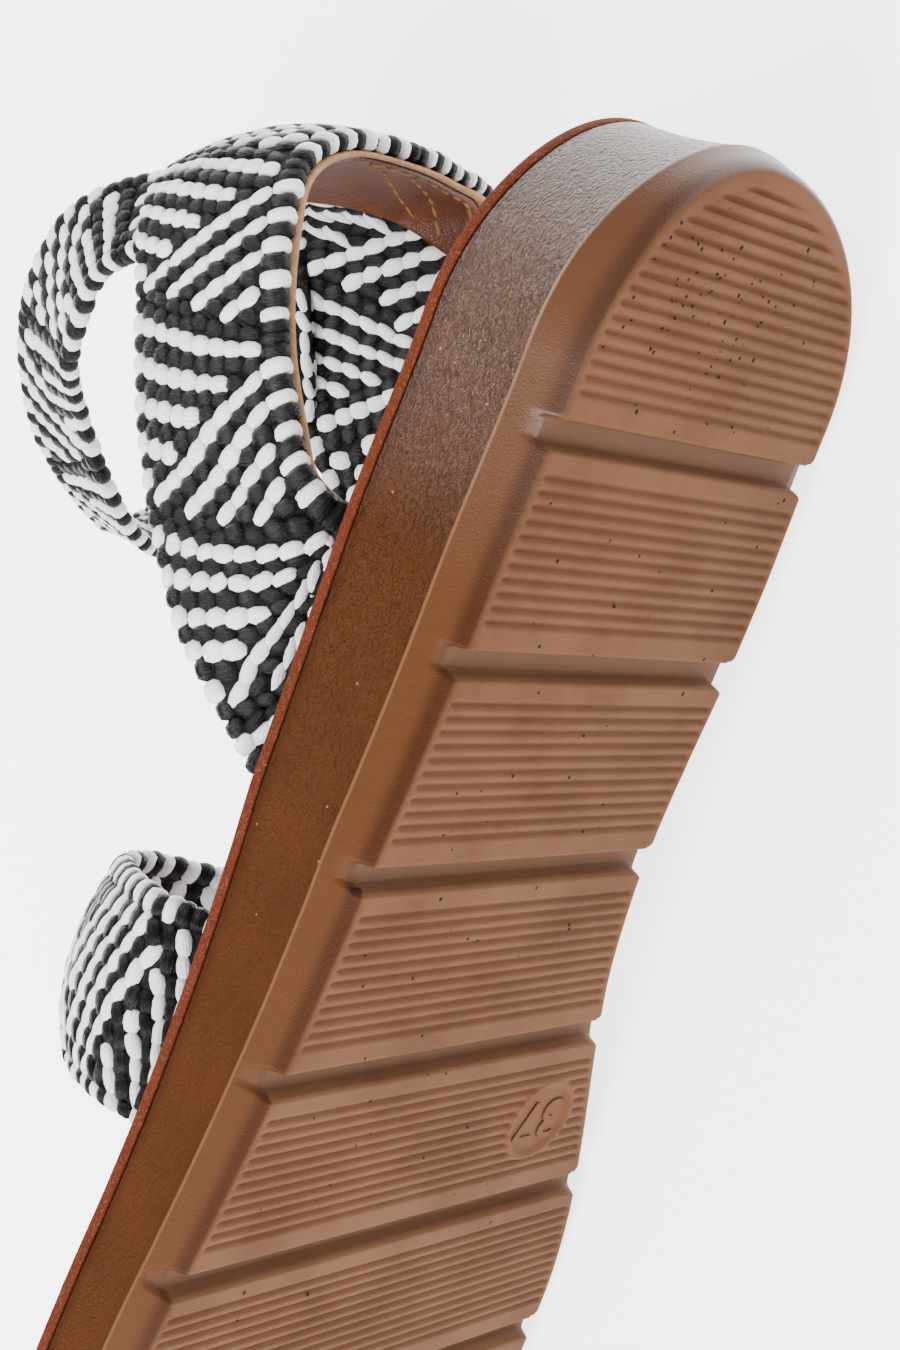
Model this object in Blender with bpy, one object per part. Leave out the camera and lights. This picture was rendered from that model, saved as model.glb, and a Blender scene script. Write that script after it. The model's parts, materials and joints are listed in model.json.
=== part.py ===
"""Left strap sandal, laid on its inner side: moulded unit sole, insole board, woven straps, heel lining.

Everything is modelled upright first, in the shoe's own frame: the tread's flat lies on z = 0, the
toe points along +Y from the heel's end at y = 0, and +X is the wearer's right, the inner side.
The last step lays the finished shoe on its inner side. All lengths are in metres.
"""

import math
from collections import namedtuple

import bmesh
import bpy
from mathutils import Matrix, Vector

# Sole
TREAD_LENGTH = 0.246
BALL_WIDTH = 0.083
HEEL_WIDTH = 0.0515
HEEL_HEIGHT = 0.022
FORE_HEIGHT = 0.0145
TOE_SPRING = 0.005
TREAD_EDGE = 0.0011
RIDGE_OUT = 0.0014
RIDGE_PROUD = 0.0003
RIDGE_HEEL_HEIGHT = 0.0055
RIDGE_FORE_HEIGHT = 0.0037
WALL_HOLLOW = 0.0005
WALL_HEEL_OUT = 0.0015
WALL_FORE_OUT = 0.0008
HEEL_LEAN = 0.0026

# Tread
GROOVE_PITCH = 0.027
GROOVE_START = 0.0338
GROOVE_WIDTH = 0.0031
GROOVE_DEPTH = 0.0026
GROOVE_DRAFT = 0.0008
GROOVE_COUNT = 8
STAMP_RADIUS = 0.0060
STAMP_DEPTH = 0.0006
STAMP_ACROSS = 0.0226
STAMP_ALONG = 0.1284

# Insole and seats
INSOLE_THICKNESS = 0.0018
CLEARANCE = 0.0003
STRAP_INSET = 0.0042
SLOT_PLAY = 0.0005
NECK_RISE = 0.0025
ROOT_LIFT = 0.0009

# Straps
STRAP_THICKNESS = 0.0024
SELVAGE_RISE = 0.0003
SELVAGE_WIDTH = 0.0026
RING_RISE = 0.060
ANKLE_RISE = 0.080
MIDFOOT_RISE = 0.050
TOE_STRAP_RISE = 0.030
RING_CAMBER = 0.0020
ANKLE_CAMBER = 0.0006
MIDFOOT_CAMBER = 0.0032
TOE_CAMBER = 0.0020
CAMBER_RUN = 0.35
JOIN_OVERLAP = 0.0060
LINING_THICKNESS = 0.0009
LINING_MARGIN = 0.0010

# Mesh steps
OUTLINE_STEPS = 30
END_STEPS = 8
BAND_STEPS = 36
LINING_STEPS = 14
ROUND_STEPS = 24

# Half widths of the tread between the round ends. along is a share of TREAD_LENGTH, outer and inner
# are shares of the width there, which grows from HEEL_WIDTH to BALL_WIDTH.
Station = namedtuple("Station", "along outer inner")
TREAD_STATIONS = (
    Station(0.110, 0.498, 0.493),
    Station(0.190, 0.508, 0.486),
    Station(0.255, 0.493, 0.450),
    Station(0.306, 0.482, 0.406),
    Station(0.345, 0.476, 0.379),
    Station(0.380, 0.464, 0.369),
    Station(0.428, 0.455, 0.374),
    Station(0.475, 0.453, 0.403),
    Station(0.520, 0.457, 0.438),
    Station(0.563, 0.466, 0.470),
    Station(0.600, 0.477, 0.495),
    Station(0.645, 0.486, 0.511),
    Station(0.690, 0.4915, 0.514),
)
HEEL_APEX = -0.062
TOE_APEX = 0.070
HEEL_ROUNDNESS = 2.0
TOE_ROUNDNESS = 2.3
WEDGE_START = 0.20
WEDGE_END = 0.66
SPRING_START = 0.80

# Folds of a strap from its outer root to its inner root. The across columns are shares of the
# strap's width reference, the along columns of TREAD_LENGTH, and the rise columns of the strap's rise
# over the insole. rear is the edge towards the heel, front the edge towards the toe.
Fold = namedtuple("Fold", "rear_across rear_along rear_rise front_across front_along front_rise")
RING_FOLDS = (
    Fold(-0.530, 0.203, 0.150, -0.588, 0.313, 0.285),
    Fold(-0.524, 0.183, 0.240, -0.575, 0.276, 0.483),
    Fold(-0.515, 0.150, 0.350, -0.555, 0.232, 0.650),
    Fold(-0.500, 0.106, 0.440, -0.545, 0.175, 0.790),
    Fold(-0.417, 0.073, 0.530, -0.545, 0.122, 0.870),
    Fold(-0.233, 0.056, 0.600, -0.360, 0.096, 0.950),
    Fold(0.000, 0.053, 0.622, -0.070, 0.090, 1.030),
    Fold(0.210, 0.056, 0.655, 0.165, 0.100, 1.150),
    Fold(0.400, 0.064, 0.690, 0.300, 0.130, 1.250),
    Fold(0.485, 0.102, 0.720, 0.360, 0.180, 1.235),
    Fold(0.500, 0.150, 0.690, 0.375, 0.229, 1.100),
    Fold(0.485, 0.190, 0.530, 0.390, 0.275, 0.835),
    Fold(0.455, 0.216, 0.260, 0.410, 0.315, 0.430),
)
ANKLE_FOLDS = (
    Fold(-0.530, 0.172, 0.740, -0.485, 0.142, 0.900),
    Fold(-0.390, 0.228, 0.875, -0.360, 0.216, 1.088),
    Fold(-0.180, 0.270, 0.980, -0.136, 0.291, 1.188),
    Fold(0.058, 0.327, 1.005, 0.097, 0.337, 1.215),
    Fold(0.270, 0.352, 1.025, 0.310, 0.360, 1.242),
    Fold(0.430, 0.325, 1.010, 0.450, 0.333, 1.225),
    Fold(0.430, 0.252, 0.960, 0.400, 0.220, 1.150),
)
MIDFOOT_FOLDS = (
    Fold(-0.367, 0.427, 0.190, -0.386, 0.543, 0.200),
    Fold(-0.325, 0.438, 0.358, -0.355, 0.553, 0.345),
    Fold(-0.259, 0.453, 0.550, -0.289, 0.569, 0.550),
    Fold(-0.145, 0.476, 0.815, -0.169, 0.598, 0.780),
    Fold(-0.024, 0.490, 0.940, -0.024, 0.614, 0.890),
    Fold(0.096, 0.500, 0.938, 0.132, 0.622, 0.895),
    Fold(0.229, 0.504, 0.850, 0.277, 0.618, 0.755),
    Fold(0.319, 0.498, 0.590, 0.380, 0.608, 0.522),
    Fold(0.343, 0.486, 0.285, 0.428, 0.596, 0.240),
)
TOE_FOLDS = (
    Fold(-0.373, 0.752, 0.320, -0.313, 0.850, 0.280),
    Fold(-0.245, 0.748, 0.560, -0.229, 0.850, 0.500),
    Fold(-0.105, 0.728, 1.000, -0.096, 0.837, 0.830),
    Fold(0.048, 0.724, 1.130, 0.060, 0.835, 0.930),
    Fold(0.241, 0.726, 0.980, 0.229, 0.835, 0.780),
    Fold(0.398, 0.732, 0.520, 0.349, 0.835, 0.370),
)

# Roots, as shares of TREAD_LENGTH: where each strap's edges pass into the insole.
Root = namedtuple("Root", "rear front")
RING_ROOTS = {"outer": Root(0.215, 0.356), "inner": Root(0.228, 0.340)}
MIDFOOT_ROOTS = {"outer": Root(0.424, 0.540), "inner": Root(0.482, 0.584)}
TOE_ROOTS = {"outer": Root(0.752, 0.850), "inner": Root(0.737, 0.832)}
ANKLE_JOIN_OUTER = (0.362, 0.438)
ANKLE_JOIN_INNER = (0.731, 0.638)

# Ends of the lining along the ring, at its rear edge and at its front edge.
LINING_REAR = (0.411, 0.660)
LINING_FRONT = (0.473, 0.571)

Band = namedtuple("Band", "rear front camber")
Slot = namedtuple("Slot", "plan shares")
Paint = namedtuple("Paint", "colour roughness")
SOLE_PAINT = Paint((0.30, 0.155, 0.075), 0.55)
INSOLE_PAINT = Paint((0.46, 0.22, 0.10), 0.80)
WEAVE_PAINT = Paint((0.40, 0.40, 0.40), 0.40)
LINING_PAINT = Paint((0.30, 0.12, 0.05), 0.50)


def smooth(value, low, high):
    """Rise from 0 to 1 between low and high, level at both ends."""
    share = min(1.0, max(0.0, (value - low) / (high - low)))
    return share * share * (3.0 - 2.0 * share)


def through(values, position):
    """Value at a position, counted in steps, on the smooth curve through evenly spaced values."""
    last = len(values) - 1
    position = min(float(last), max(0.0, position))
    index = min(int(position), last - 1)
    step = position - index
    before = values[index - 1] if index > 0 else values[0] * 2 - values[1]
    start, end = values[index], values[index + 1]
    after = values[index + 2] if index + 2 <= last else values[last] * 2 - values[last - 1]
    bend = before * 2 - start * 5 + end * 4 - after
    turn = start * 3 - before - end * 3 + after
    return start + ((end - before) + (bend + turn * step) * step) * (step / 2)


def local_width(share):
    """Reference width of the tread at a share of its length."""
    first, last = TREAD_STATIONS[0].along, TREAD_STATIONS[-1].along
    return HEEL_WIDTH + (BALL_WIDTH - HEEL_WIDTH) * smooth(share, first, last)


def station_half(share, side):
    """Half width at a share between the round ends, on one side."""
    for index in range(len(TREAD_STATIONS) - 1):
        if share <= TREAD_STATIONS[index + 1].along:
            break
    low, high = TREAD_STATIONS[index], TREAD_STATIONS[index + 1]
    position = index + (share - low.along) / (high.along - low.along)
    halves = [getattr(row, side) for row in TREAD_STATIONS]
    return through(halves, position) * local_width(share)


def half_width(share, side):
    """Distance of the tread's edge from the centre line, towards one side."""
    first, last = TREAD_STATIONS[0].along, TREAD_STATIONS[-1].along
    sign = -1.0 if side == "outer" else 1.0
    if share < first:
        apex = sign * HEEL_APEX * HEEL_WIDTH
        depth, power, half = (first - share) / first, HEEL_ROUNDNESS, station_half(first, side)
    elif share > last:
        apex = sign * TOE_APEX * BALL_WIDTH
        depth, power, half = (share - last) / (1 - last), TOE_ROUNDNESS, station_half(last, side)
    else:
        return station_half(share, side)
    return apex + (half - apex) * max(0.0, 1 - depth ** power) ** (1 / power)


def top_height(share):
    """Height of the insole's top over the tread at a share of the length."""
    wedge = HEEL_HEIGHT + (FORE_HEIGHT - HEEL_HEIGHT) * smooth(share, WEDGE_START, WEDGE_END)
    return wedge + spring(share)


def spring(share):
    """Lift of the toe at a share of the length."""
    return TOE_SPRING * max(0.0, (share - SPRING_START) / (1 - SPRING_START)) ** 2


def ridge_height(share):
    """Height of the mould line round the side."""
    drop = smooth(share, WEDGE_START, WEDGE_END)
    return RIDGE_HEEL_HEIGHT + (RIDGE_FORE_HEIGHT - RIDGE_HEEL_HEIGHT) * drop + spring(share)


def outline_shares():
    """Shares of the length from heel to toe, closer together on the round ends."""
    first, last = TREAD_STATIONS[0].along, TREAD_STATIONS[-1].along
    heel = [first * (1 - math.cos(math.pi / 2 * i / END_STEPS)) for i in range(END_STEPS)]
    middle = [first + (last - first) * i / OUTLINE_STEPS for i in range(OUTLINE_STEPS)]
    toe_steps = END_STEPS + 2
    toe = [last + (1 - last) * math.sin(math.pi / 2 * i / toe_steps) for i in range(toe_steps + 1)]
    return heel + middle + toe


def wall_out(share):
    """How far the side wall's top stands outside the tread. The heel's back leans forward."""
    out = WALL_HEEL_OUT + (WALL_FORE_OUT - WALL_HEEL_OUT) * smooth(share, WEDGE_START, WEDGE_END)
    return out - HEEL_LEAN * (1 - smooth(share, 0, TREAD_STATIONS[0].along))


def outline(offset):
    """Tread outline moved outwards: rows of (share, outer point, inner point), heel to toe."""
    shares = outline_shares()
    offsets = [offset(share) for share in shares]
    offsets += offsets[-2:0:-1]
    outer = [Vector((-half_width(s, "outer"), s * TREAD_LENGTH)) for s in shares]
    inner = [Vector((half_width(s, "inner"), s * TREAD_LENGTH)) for s in shares]
    loop = outer + inner[-2:0:-1]
    moved = []
    for index, point in enumerate(loop):
        run = loop[(index + 1) % len(loop)] - loop[index - 1]
        moved.append(point + Vector((-run.y, run.x)).normalized() * offsets[index])
    rows = []
    for index, share in enumerate(shares):
        outer_point = moved[index]
        inner_point = moved[-index] if 0 < index < len(shares) - 1 else outer_point
        rows.append((share, outer_point, inner_point))
    return rows


def edge_point(along, side, inset):
    """Point that lies inside the tread's edge by inset, at a share of the length."""
    step = 0.002
    sign = -1.0 if side == "outer" else 1.0
    slope = (half_width(along + step, side) - half_width(along - step, side)) / (2 * step * TREAD_LENGTH)
    reach = half_width(along, side) - inset * math.sqrt(1 + slope * slope)
    return Vector((sign * reach, along * TREAD_LENGTH))


def new_object(name, mesh, paint):
    """Link a mesh as an object with its own material."""
    obj = bpy.data.objects.new(name, mesh)
    bpy.context.scene.collection.objects.link(obj)
    material = bpy.data.materials.new(name)
    material.use_nodes = True
    shader = material.node_tree.nodes["Principled BSDF"]
    shader.inputs["Base Color"].default_value = (*paint.colour, 1.0)
    shader.inputs["Roughness"].default_value = paint.roughness
    shader.inputs["Metallic"].default_value = 0.0
    obj.data.materials.append(material)
    obj.data.set_sharp_from_angle(angle=math.radians(40))
    return obj


def mesh_from(name, bm):
    """Turn a bmesh into a mesh with outward faces."""
    bmesh.ops.remove_doubles(bm, verts=bm.verts, dist=1e-7)
    bmesh.ops.recalc_face_normals(bm, faces=bm.faces)
    mesh = bpy.data.meshes.new(name)
    bm.to_mesh(mesh)
    bm.free()
    mesh.shade_smooth()
    return mesh


def lofted_layers(name, layers):
    """Closed body through layers of outline rows, each row with its own height, lowest layer first.

    A layer is a list of (outer point, inner point, height), heel to toe.
    """
    bm = bmesh.new()
    rings = []
    for layer in layers:
        outer = [bm.verts.new((o.x, o.y, z)) for o, i, z in layer]
        inner = [bm.verts.new((i.x, i.y, z)) for o, i, z in layer[1:-1]]
        rings.append((outer, [outer[0]] + inner + [outer[-1]]))
    for low, high in zip(rings, rings[1:]):
        for side in (0, 1):
            for index in range(len(low[side]) - 1):
                corners = (low[side][index], low[side][index + 1],
                           high[side][index + 1], high[side][index])
                bm.faces.new(corners)
    for outer, inner in (rings[0], rings[-1]):
        count = len(outer)
        bm.faces.new((outer[0], outer[1], inner[1]))
        bm.faces.new((outer[count - 2], outer[count - 1], inner[count - 2]))
        for index in range(1, count - 2):
            bm.faces.new((outer[index], outer[index + 1], inner[index + 1], inner[index]))
    return mesh_from(name, bm)


def layer(offset, height):
    """One layer of the sole: the outline moved outwards, at a height that depends on the share."""
    offset_at = offset if callable(offset) else (lambda share: offset)
    return [(outer, inner, height(share)) for share, outer, inner in outline(offset_at)]


def cut(obj, cutter_mesh, name):
    """Cut a joined set of solids out of an object."""
    cutter = bpy.data.objects.new(name, cutter_mesh)
    bpy.context.scene.collection.objects.link(cutter)
    cutter.hide_render = True
    cutter.display_type = "WIRE"
    modifier = obj.modifiers.new(name, "BOOLEAN")
    modifier.operation = "DIFFERENCE"
    modifier.solver = "EXACT"
    modifier.object = cutter
    return cutter


def prism(bm, bottom, top):
    """Closed prism between two loops of as many points."""
    low = [bm.verts.new(point) for point in bottom]
    high = [bm.verts.new(point) for point in top]
    bm.faces.new(low[::-1])
    bm.faces.new(high)
    for index in range(len(low)):
        after = (index + 1) % len(low)
        bm.faces.new((low[index], low[after], high[after], high[index]))


def groove_loop(along, half, outer_end, inner_end, height):
    """Plan of one groove: a straight slot with a round outer end, open at the inner side."""
    points = [(inner_end, along - half, height), (inner_end, along + half, height)]
    for step in range(7):
        angle = math.pi / 2 + math.pi * step / 6
        points.append((outer_end + half * (1 + math.cos(angle)), along + half * math.sin(angle), height))
    return points


def groove_mesh():
    """All tread grooves, as solids that reach below the tread."""
    bm = bmesh.new()
    for index in range(GROOVE_COUNT):
        along = GROOVE_START + index * GROOVE_PITCH
        share = along / TREAD_LENGTH
        if share > 1 - GROOVE_PITCH / TREAD_LENGTH / 2:
            break
        depth = GROOVE_DEPTH + spring(share)
        outer_end = -half_width(share, "outer") - RIDGE_OUT * 0.35
        inner_end = half_width(share, "inner") + BALL_WIDTH / 8
        low = groove_loop(along, GROOVE_WIDTH / 2 + GROOVE_DRAFT / 2, outer_end, inner_end,
                          -GROOVE_DEPTH)
        high = groove_loop(along, GROOVE_WIDTH / 2 - GROOVE_DRAFT / 2, outer_end + GROOVE_DRAFT,
                           inner_end, depth)
        prism(bm, low, high)
    return mesh_from("groove_cutter", bm)


def stamp_mesh():
    """Round recess for the size number."""
    bm = bmesh.new()
    turns = [2 * math.pi * step / ROUND_STEPS for step in range(ROUND_STEPS)]
    plan = [(STAMP_ACROSS + STAMP_RADIUS * math.cos(a), STAMP_ALONG + STAMP_RADIUS * math.sin(a))
            for a in turns]
    prism(bm, [(x, y, -STAMP_DEPTH) for x, y in plan], [(x, y, STAMP_DEPTH) for x, y in plan])
    return mesh_from("stamp_cutter", bm)


def sole_top(share):
    """Height of the sole's top, under the insole."""
    return top_height(share) - INSOLE_THICKNESS - CLEARANCE


def build_sole():
    """Moulded unit sole: tread blocks, mould line, hollow side wall and flat top."""
    def middle(share):
        return (ridge_height(share) + sole_top(share)) / 2

    layers = [
        layer(-TREAD_EDGE, spring),
        layer(-TREAD_EDGE * 0.3, lambda s: spring(s) + TREAD_EDGE * 0.3),
        layer(TREAD_EDGE * 0.1, lambda s: spring(s) + TREAD_EDGE),
        layer(RIDGE_OUT - RIDGE_PROUD, lambda s: ridge_height(s) - RIDGE_PROUD * 1.5),
        layer(RIDGE_OUT, ridge_height),
        layer(RIDGE_OUT - RIDGE_PROUD, lambda s: ridge_height(s) + RIDGE_PROUD * 1.5),
        layer(lambda s: (RIDGE_OUT + wall_out(s)) / 2 - WALL_HOLLOW, middle),
        layer(wall_out, sole_top),
    ]
    sole = new_object("sole", lofted_layers("sole", layers), SOLE_PAINT)
    cutters = [cut(sole, groove_mesh(), "groove_cutter"), cut(sole, stamp_mesh(), "stamp_cutter")]
    return sole, cutters


def build_insole(slots):
    """Insole board over the whole sole, with a slot for each strap root."""
    def base(share):
        return top_height(share) - INSOLE_THICKNESS

    layers = [layer(wall_out, base), layer(wall_out, top_height)]
    insole = new_object("insole", lofted_layers("insole", layers), INSOLE_PAINT)
    bm = bmesh.new()
    for slot in slots:
        low = min(sole_top(s) for s in slot.shares) - INSOLE_THICKNESS
        high = max(top_height(s) for s in slot.shares) + INSOLE_THICKNESS
        prism(bm, [(p.x, p.y, low) for p in slot.plan], [(p.x, p.y, high) for p in slot.plan])
    return insole, [cut(insole, mesh_from("slot_cutter", bm), "slot_cutter")]


def root_slot(root, side):
    """Plan of the insole slot that a strap's root fills."""
    rear = edge_point(root.rear, side, STRAP_INSET)
    front = edge_point(root.front, side, STRAP_INSET)
    run = (front - rear).normalized()
    across = Vector((-run.y, run.x)) * (STRAP_THICKNESS / 2 + SELVAGE_RISE + SLOT_PLAY)
    rear = rear - run * SLOT_PLAY * 2
    front = front + run * SLOT_PLAY * 2
    plan = [rear + across, front + across, front - across, rear - across]
    return Slot(plan[::-1] if side == "outer" else plan, (root.rear, root.front))


def strap_band(folds, roots, width, rise, camber):
    """Rear and front edges of a strap, from its outer root to its inner root."""
    rear, front = [], []
    for side in ("outer", "inner"):
        starts = []
        for along in (roots[side].rear, roots[side].front):
            plan = edge_point(along, side, STRAP_INSET)
            seat = Vector((plan.x, plan.y, sole_top(along) + ROOT_LIFT))
            mouth = Vector((plan.x, plan.y, top_height(along) + CLEARANCE * 2))
            neck = mouth + Vector((0, 0, NECK_RISE))
            starts.append((seat, mouth, neck))
        if side == "outer":
            rear += starts[0]
            front += starts[1]
            for fold in folds:
                rear.append(fold_point(fold.rear_across, fold.rear_along, fold.rear_rise, width, rise))
                front.append(fold_point(fold.front_across, fold.front_along, fold.front_rise, width, rise))
        else:
            rear += starts[0][::-1]
            front += starts[1][::-1]
    return Band(rear, front, camber)


def fold_point(across, along, lift, width, rise):
    """Point of a fold, from its shares."""
    return Vector((across * width, along * TREAD_LENGTH, top_height(along) + lift * rise))


def band_point(band, share, across):
    """Point on a strap's middle surface. share runs along the strap, across from rear to front.

    Between its edges the strap swells outwards by its camber, away from its two roots.
    """
    last = len(band.rear) - 1
    position = share * last
    rear, front = through(band.rear, position), through(band.front, position)
    point = rear.lerp(front, across)
    swell = 4 * across * (1 - across) * smooth(min(share, 1 - share), 1.5 / last, CAMBER_RUN)
    if swell <= 0:
        return point
    step = 0.05
    ahead = through(band.rear, position + step) + through(band.front, position + step)
    behind = through(band.rear, position - step) + through(band.front, position - step)
    return point + (ahead - behind).cross(front - rear).normalized() * band.camber * swell


def band_normal(band, share, across):
    """Outward direction of a strap's surface."""
    step = 0.004
    tilt = 0.01
    ahead = band_point(band, min(1.0, share + step), across)
    behind = band_point(band, max(0.0, share - step), across)
    side = band_point(band, share, across + tilt) - band_point(band, share, across - tilt)
    return (ahead - behind).cross(side).normalized()


def band_columns(width):
    """Columns across a strap with half the wall there: rolled selvages and a flat middle."""
    rim = SELVAGE_WIDTH / width
    thick = STRAP_THICKNESS / 2 + SELVAGE_RISE
    thin = STRAP_THICKNESS / 2
    rear = [(0.0, thin * 0.7), (rim * 0.3, thick), (rim * 0.8, thick), (rim, thin)]
    front = [(1 - across, half) for across, half in reversed(rear)]
    return rear + [(across, thin) for across in (0.3, 0.5, 0.7)] + front


def whole_length(across):
    """Both ends of a strap that is used along its whole length."""
    return 0.0, 1.0


def band_mesh(name, band, steps, columns, shift=0.0, ends=whole_length):
    """Closed band along a strap's surface, as thick as its columns say."""
    bm = bmesh.new()
    outer, inner = [], []
    for step in range(steps + 1):
        outer_row, inner_row = [], []
        for across, half in columns:
            low, high = ends(across)
            share = low + (high - low) * step / steps
            point = band_point(band, share, across)
            normal = band_normal(band, share, across)
            outer_row.append(bm.verts.new(point + normal * (shift + half)))
            inner_row.append(bm.verts.new(point + normal * (shift - half)))
        outer.append(outer_row)
        inner.append(inner_row)
    last = len(columns) - 1
    for index in range(steps):
        for column in range(last):
            for grid in (outer, inner):
                bm.faces.new((grid[index][column], grid[index][column + 1],
                              grid[index + 1][column + 1], grid[index + 1][column]))
        for column in (0, last):
            bm.faces.new((outer[index][column], outer[index + 1][column],
                          inner[index + 1][column], inner[index][column]))
    for index in (0, steps):
        for column in range(last):
            bm.faces.new((outer[index][column], outer[index][column + 1],
                          inner[index][column + 1], inner[index][column]))
    return mesh_from(name, bm)


def even(low, high, steps):
    """Evenly spaced values, both ends included."""
    return [low + (high - low) * index / steps for index in range(steps + 1)]


def band_width(band):
    """Width of a strap halfway along it."""
    return (band_point(band, 0.5, 1.0) - band_point(band, 0.5, 0.0)).length


def ankle_band(ring):
    """Ankle strap, whose ends run into the wall of the ring's outer and inner sides."""
    tuck = JOIN_OVERLAP / band_width(ring)
    low, high = ANKLE_JOIN_OUTER
    rear = [band_point(ring, low, 1 - tuck), band_point(ring, low, 1.0)]
    front = [band_point(ring, high, 1 - tuck), band_point(ring, high, 1.0)]
    for fold in ANKLE_FOLDS:
        rear.append(fold_point(fold.rear_across, fold.rear_along, fold.rear_rise, HEEL_WIDTH, ANKLE_RISE))
        front.append(fold_point(fold.front_across, fold.front_along, fold.front_rise, HEEL_WIDTH,
                                ANKLE_RISE))
    low, high = ANKLE_JOIN_INNER
    rear += [band_point(ring, low, 1.0), band_point(ring, low, 1 - tuck)]
    front += [band_point(ring, high, 1.0), band_point(ring, high, 1 - tuck)]
    return Band(rear, front, ANKLE_CAMBER)


def build_heel_strap(ring):
    """Heel ring with the ankle strap joined inside its two upper edges."""
    columns = band_columns(band_width(ring))
    strap = new_object("heel_strap", band_mesh("heel_strap", ring, BAND_STEPS + 12, columns),
                       WEAVE_PAINT)
    ankle = ankle_band(ring)
    columns = band_columns(band_width(ankle))
    mesh = band_mesh("ankle_strap", ankle, BAND_STEPS, columns)
    tool = bpy.data.objects.new("ankle_part", mesh)
    bpy.context.scene.collection.objects.link(tool)
    tool.hide_render = True
    tool.display_type = "WIRE"
    modifier = strap.modifiers.new("ankle_part", "BOOLEAN")
    modifier.operation = "UNION"
    modifier.solver = "EXACT"
    modifier.object = tool
    return strap, [tool]


def build_strap(name, band):
    """Plain strap across the foot."""
    mesh = band_mesh(name, band, BAND_STEPS, band_columns(band_width(band)))
    return new_object(name, mesh, WEAVE_PAINT)


def build_lining(ring):
    """Leather lining inside the back of the heel ring."""
    margin = LINING_MARGIN / band_width(ring)
    columns = [(across, LINING_THICKNESS / 2) for across in even(margin, 1 - margin, 4)]
    inside = STRAP_THICKNESS / 2 + SELVAGE_RISE + CLEARANCE + LINING_THICKNESS / 2

    def ends(across):
        return [rear + (front - rear) * across for rear, front in zip(LINING_REAR, LINING_FRONT)]

    mesh = band_mesh("heel_lining", ring, LINING_STEPS, columns, -inside, ends)
    return new_object("heel_lining", mesh, LINING_PAINT)


def resting_turn(objects):
    """Turn that lays the shoe on its inner side, on the sole's edge and the straps.

    The shoe is turned on its side, then about its length and its height until the lowest points of
    the heel, the ball and the heel ring lie in one plane.
    """
    graph = bpy.context.evaluated_depsgraph_get()
    points = []
    for obj in objects:
        mesh = obj.evaluated_get(graph).to_mesh()
        points += [vertex.co.copy() for vertex in mesh.vertices]
    over = HEEL_HEIGHT * 1.5
    split = TREAD_LENGTH * 0.4
    normal = Vector((1.0, 0.0, 0.0))
    for _ in range(20):
        heel = max((p for p in points if p.z < over and p.y < split), key=lambda p: p.dot(normal))
        ball = max((p for p in points if p.z < over and p.y >= split), key=lambda p: p.dot(normal))
        strap = max((p for p in points if p.z >= over), key=lambda p: p.dot(normal))
        normal = (ball - heel).cross(strap - heel).normalized()
        if normal.x < 0:
            normal.negate()
    down = normal
    along = (Vector((0, 1, 0)) - down * down.y).normalized()
    turn = Matrix((along.cross(-down), along, -down))
    return turn.to_4x4()


def lay_down(objects, cutters):
    """Turn the shoe into its resting pose with its origin under the middle of its box."""
    turn = resting_turn(objects)
    graph = bpy.context.evaluated_depsgraph_get()
    corners = []
    for obj in objects:
        mesh = obj.evaluated_get(graph).to_mesh()
        corners += [turn @ vertex.co for vertex in mesh.vertices]
    low = Vector([min(c[axis] for c in corners) for axis in range(3)])
    high = Vector([max(c[axis] for c in corners) for axis in range(3)])
    shift = Matrix.Translation(Vector((-(low.x + high.x) / 2, -(low.y + high.y) / 2, -low.z)))
    for obj in objects + cutters:
        obj.matrix_world = shift @ turn


def main():
    """Build the sandal."""
    for obj in list(bpy.data.objects):
        bpy.data.objects.remove(obj, do_unlink=True)
    slots = [root_slot(roots[side], side) for roots in (RING_ROOTS, MIDFOOT_ROOTS, TOE_ROOTS)
             for side in ("outer", "inner")]
    ring = strap_band(RING_FOLDS, RING_ROOTS, HEEL_WIDTH, RING_RISE, RING_CAMBER)
    midfoot = strap_band(MIDFOOT_FOLDS, MIDFOOT_ROOTS, BALL_WIDTH, MIDFOOT_RISE, MIDFOOT_CAMBER)
    toe = strap_band(TOE_FOLDS, TOE_ROOTS, BALL_WIDTH, TOE_STRAP_RISE, TOE_CAMBER)
    sole, sole_cutters = build_sole()
    insole, slot_cutters = build_insole(slots)
    heel_strap, joined = build_heel_strap(ring)
    pieces = [sole, insole, heel_strap, build_lining(ring),
              build_strap("midfoot_strap", midfoot), build_strap("toe_strap", toe)]
    lay_down(pieces, sole_cutters + slot_cutters + joined)


main()
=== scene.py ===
"""Left strap sandal lying on its inner side: moulded sole, insole board, woven straps, heel lining.

Every piece is modelled upright in the shoe's own frame, where the tread's flat lies on z = 0, the toe
points along +y from the heel's end at y = 0, and +x is the inner side. ShoeFrame then lays it down on
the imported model. All lengths are in metres unless a name says otherwise.
"""

import json
import logging
from dataclasses import dataclass, field
from enum import Enum
from typing import Callable, NamedTuple, Sequence

import bmesh
import bpy
import numpy as np
from mathutils import Matrix, Vector
from mathutils.kdtree import KDTree


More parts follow.
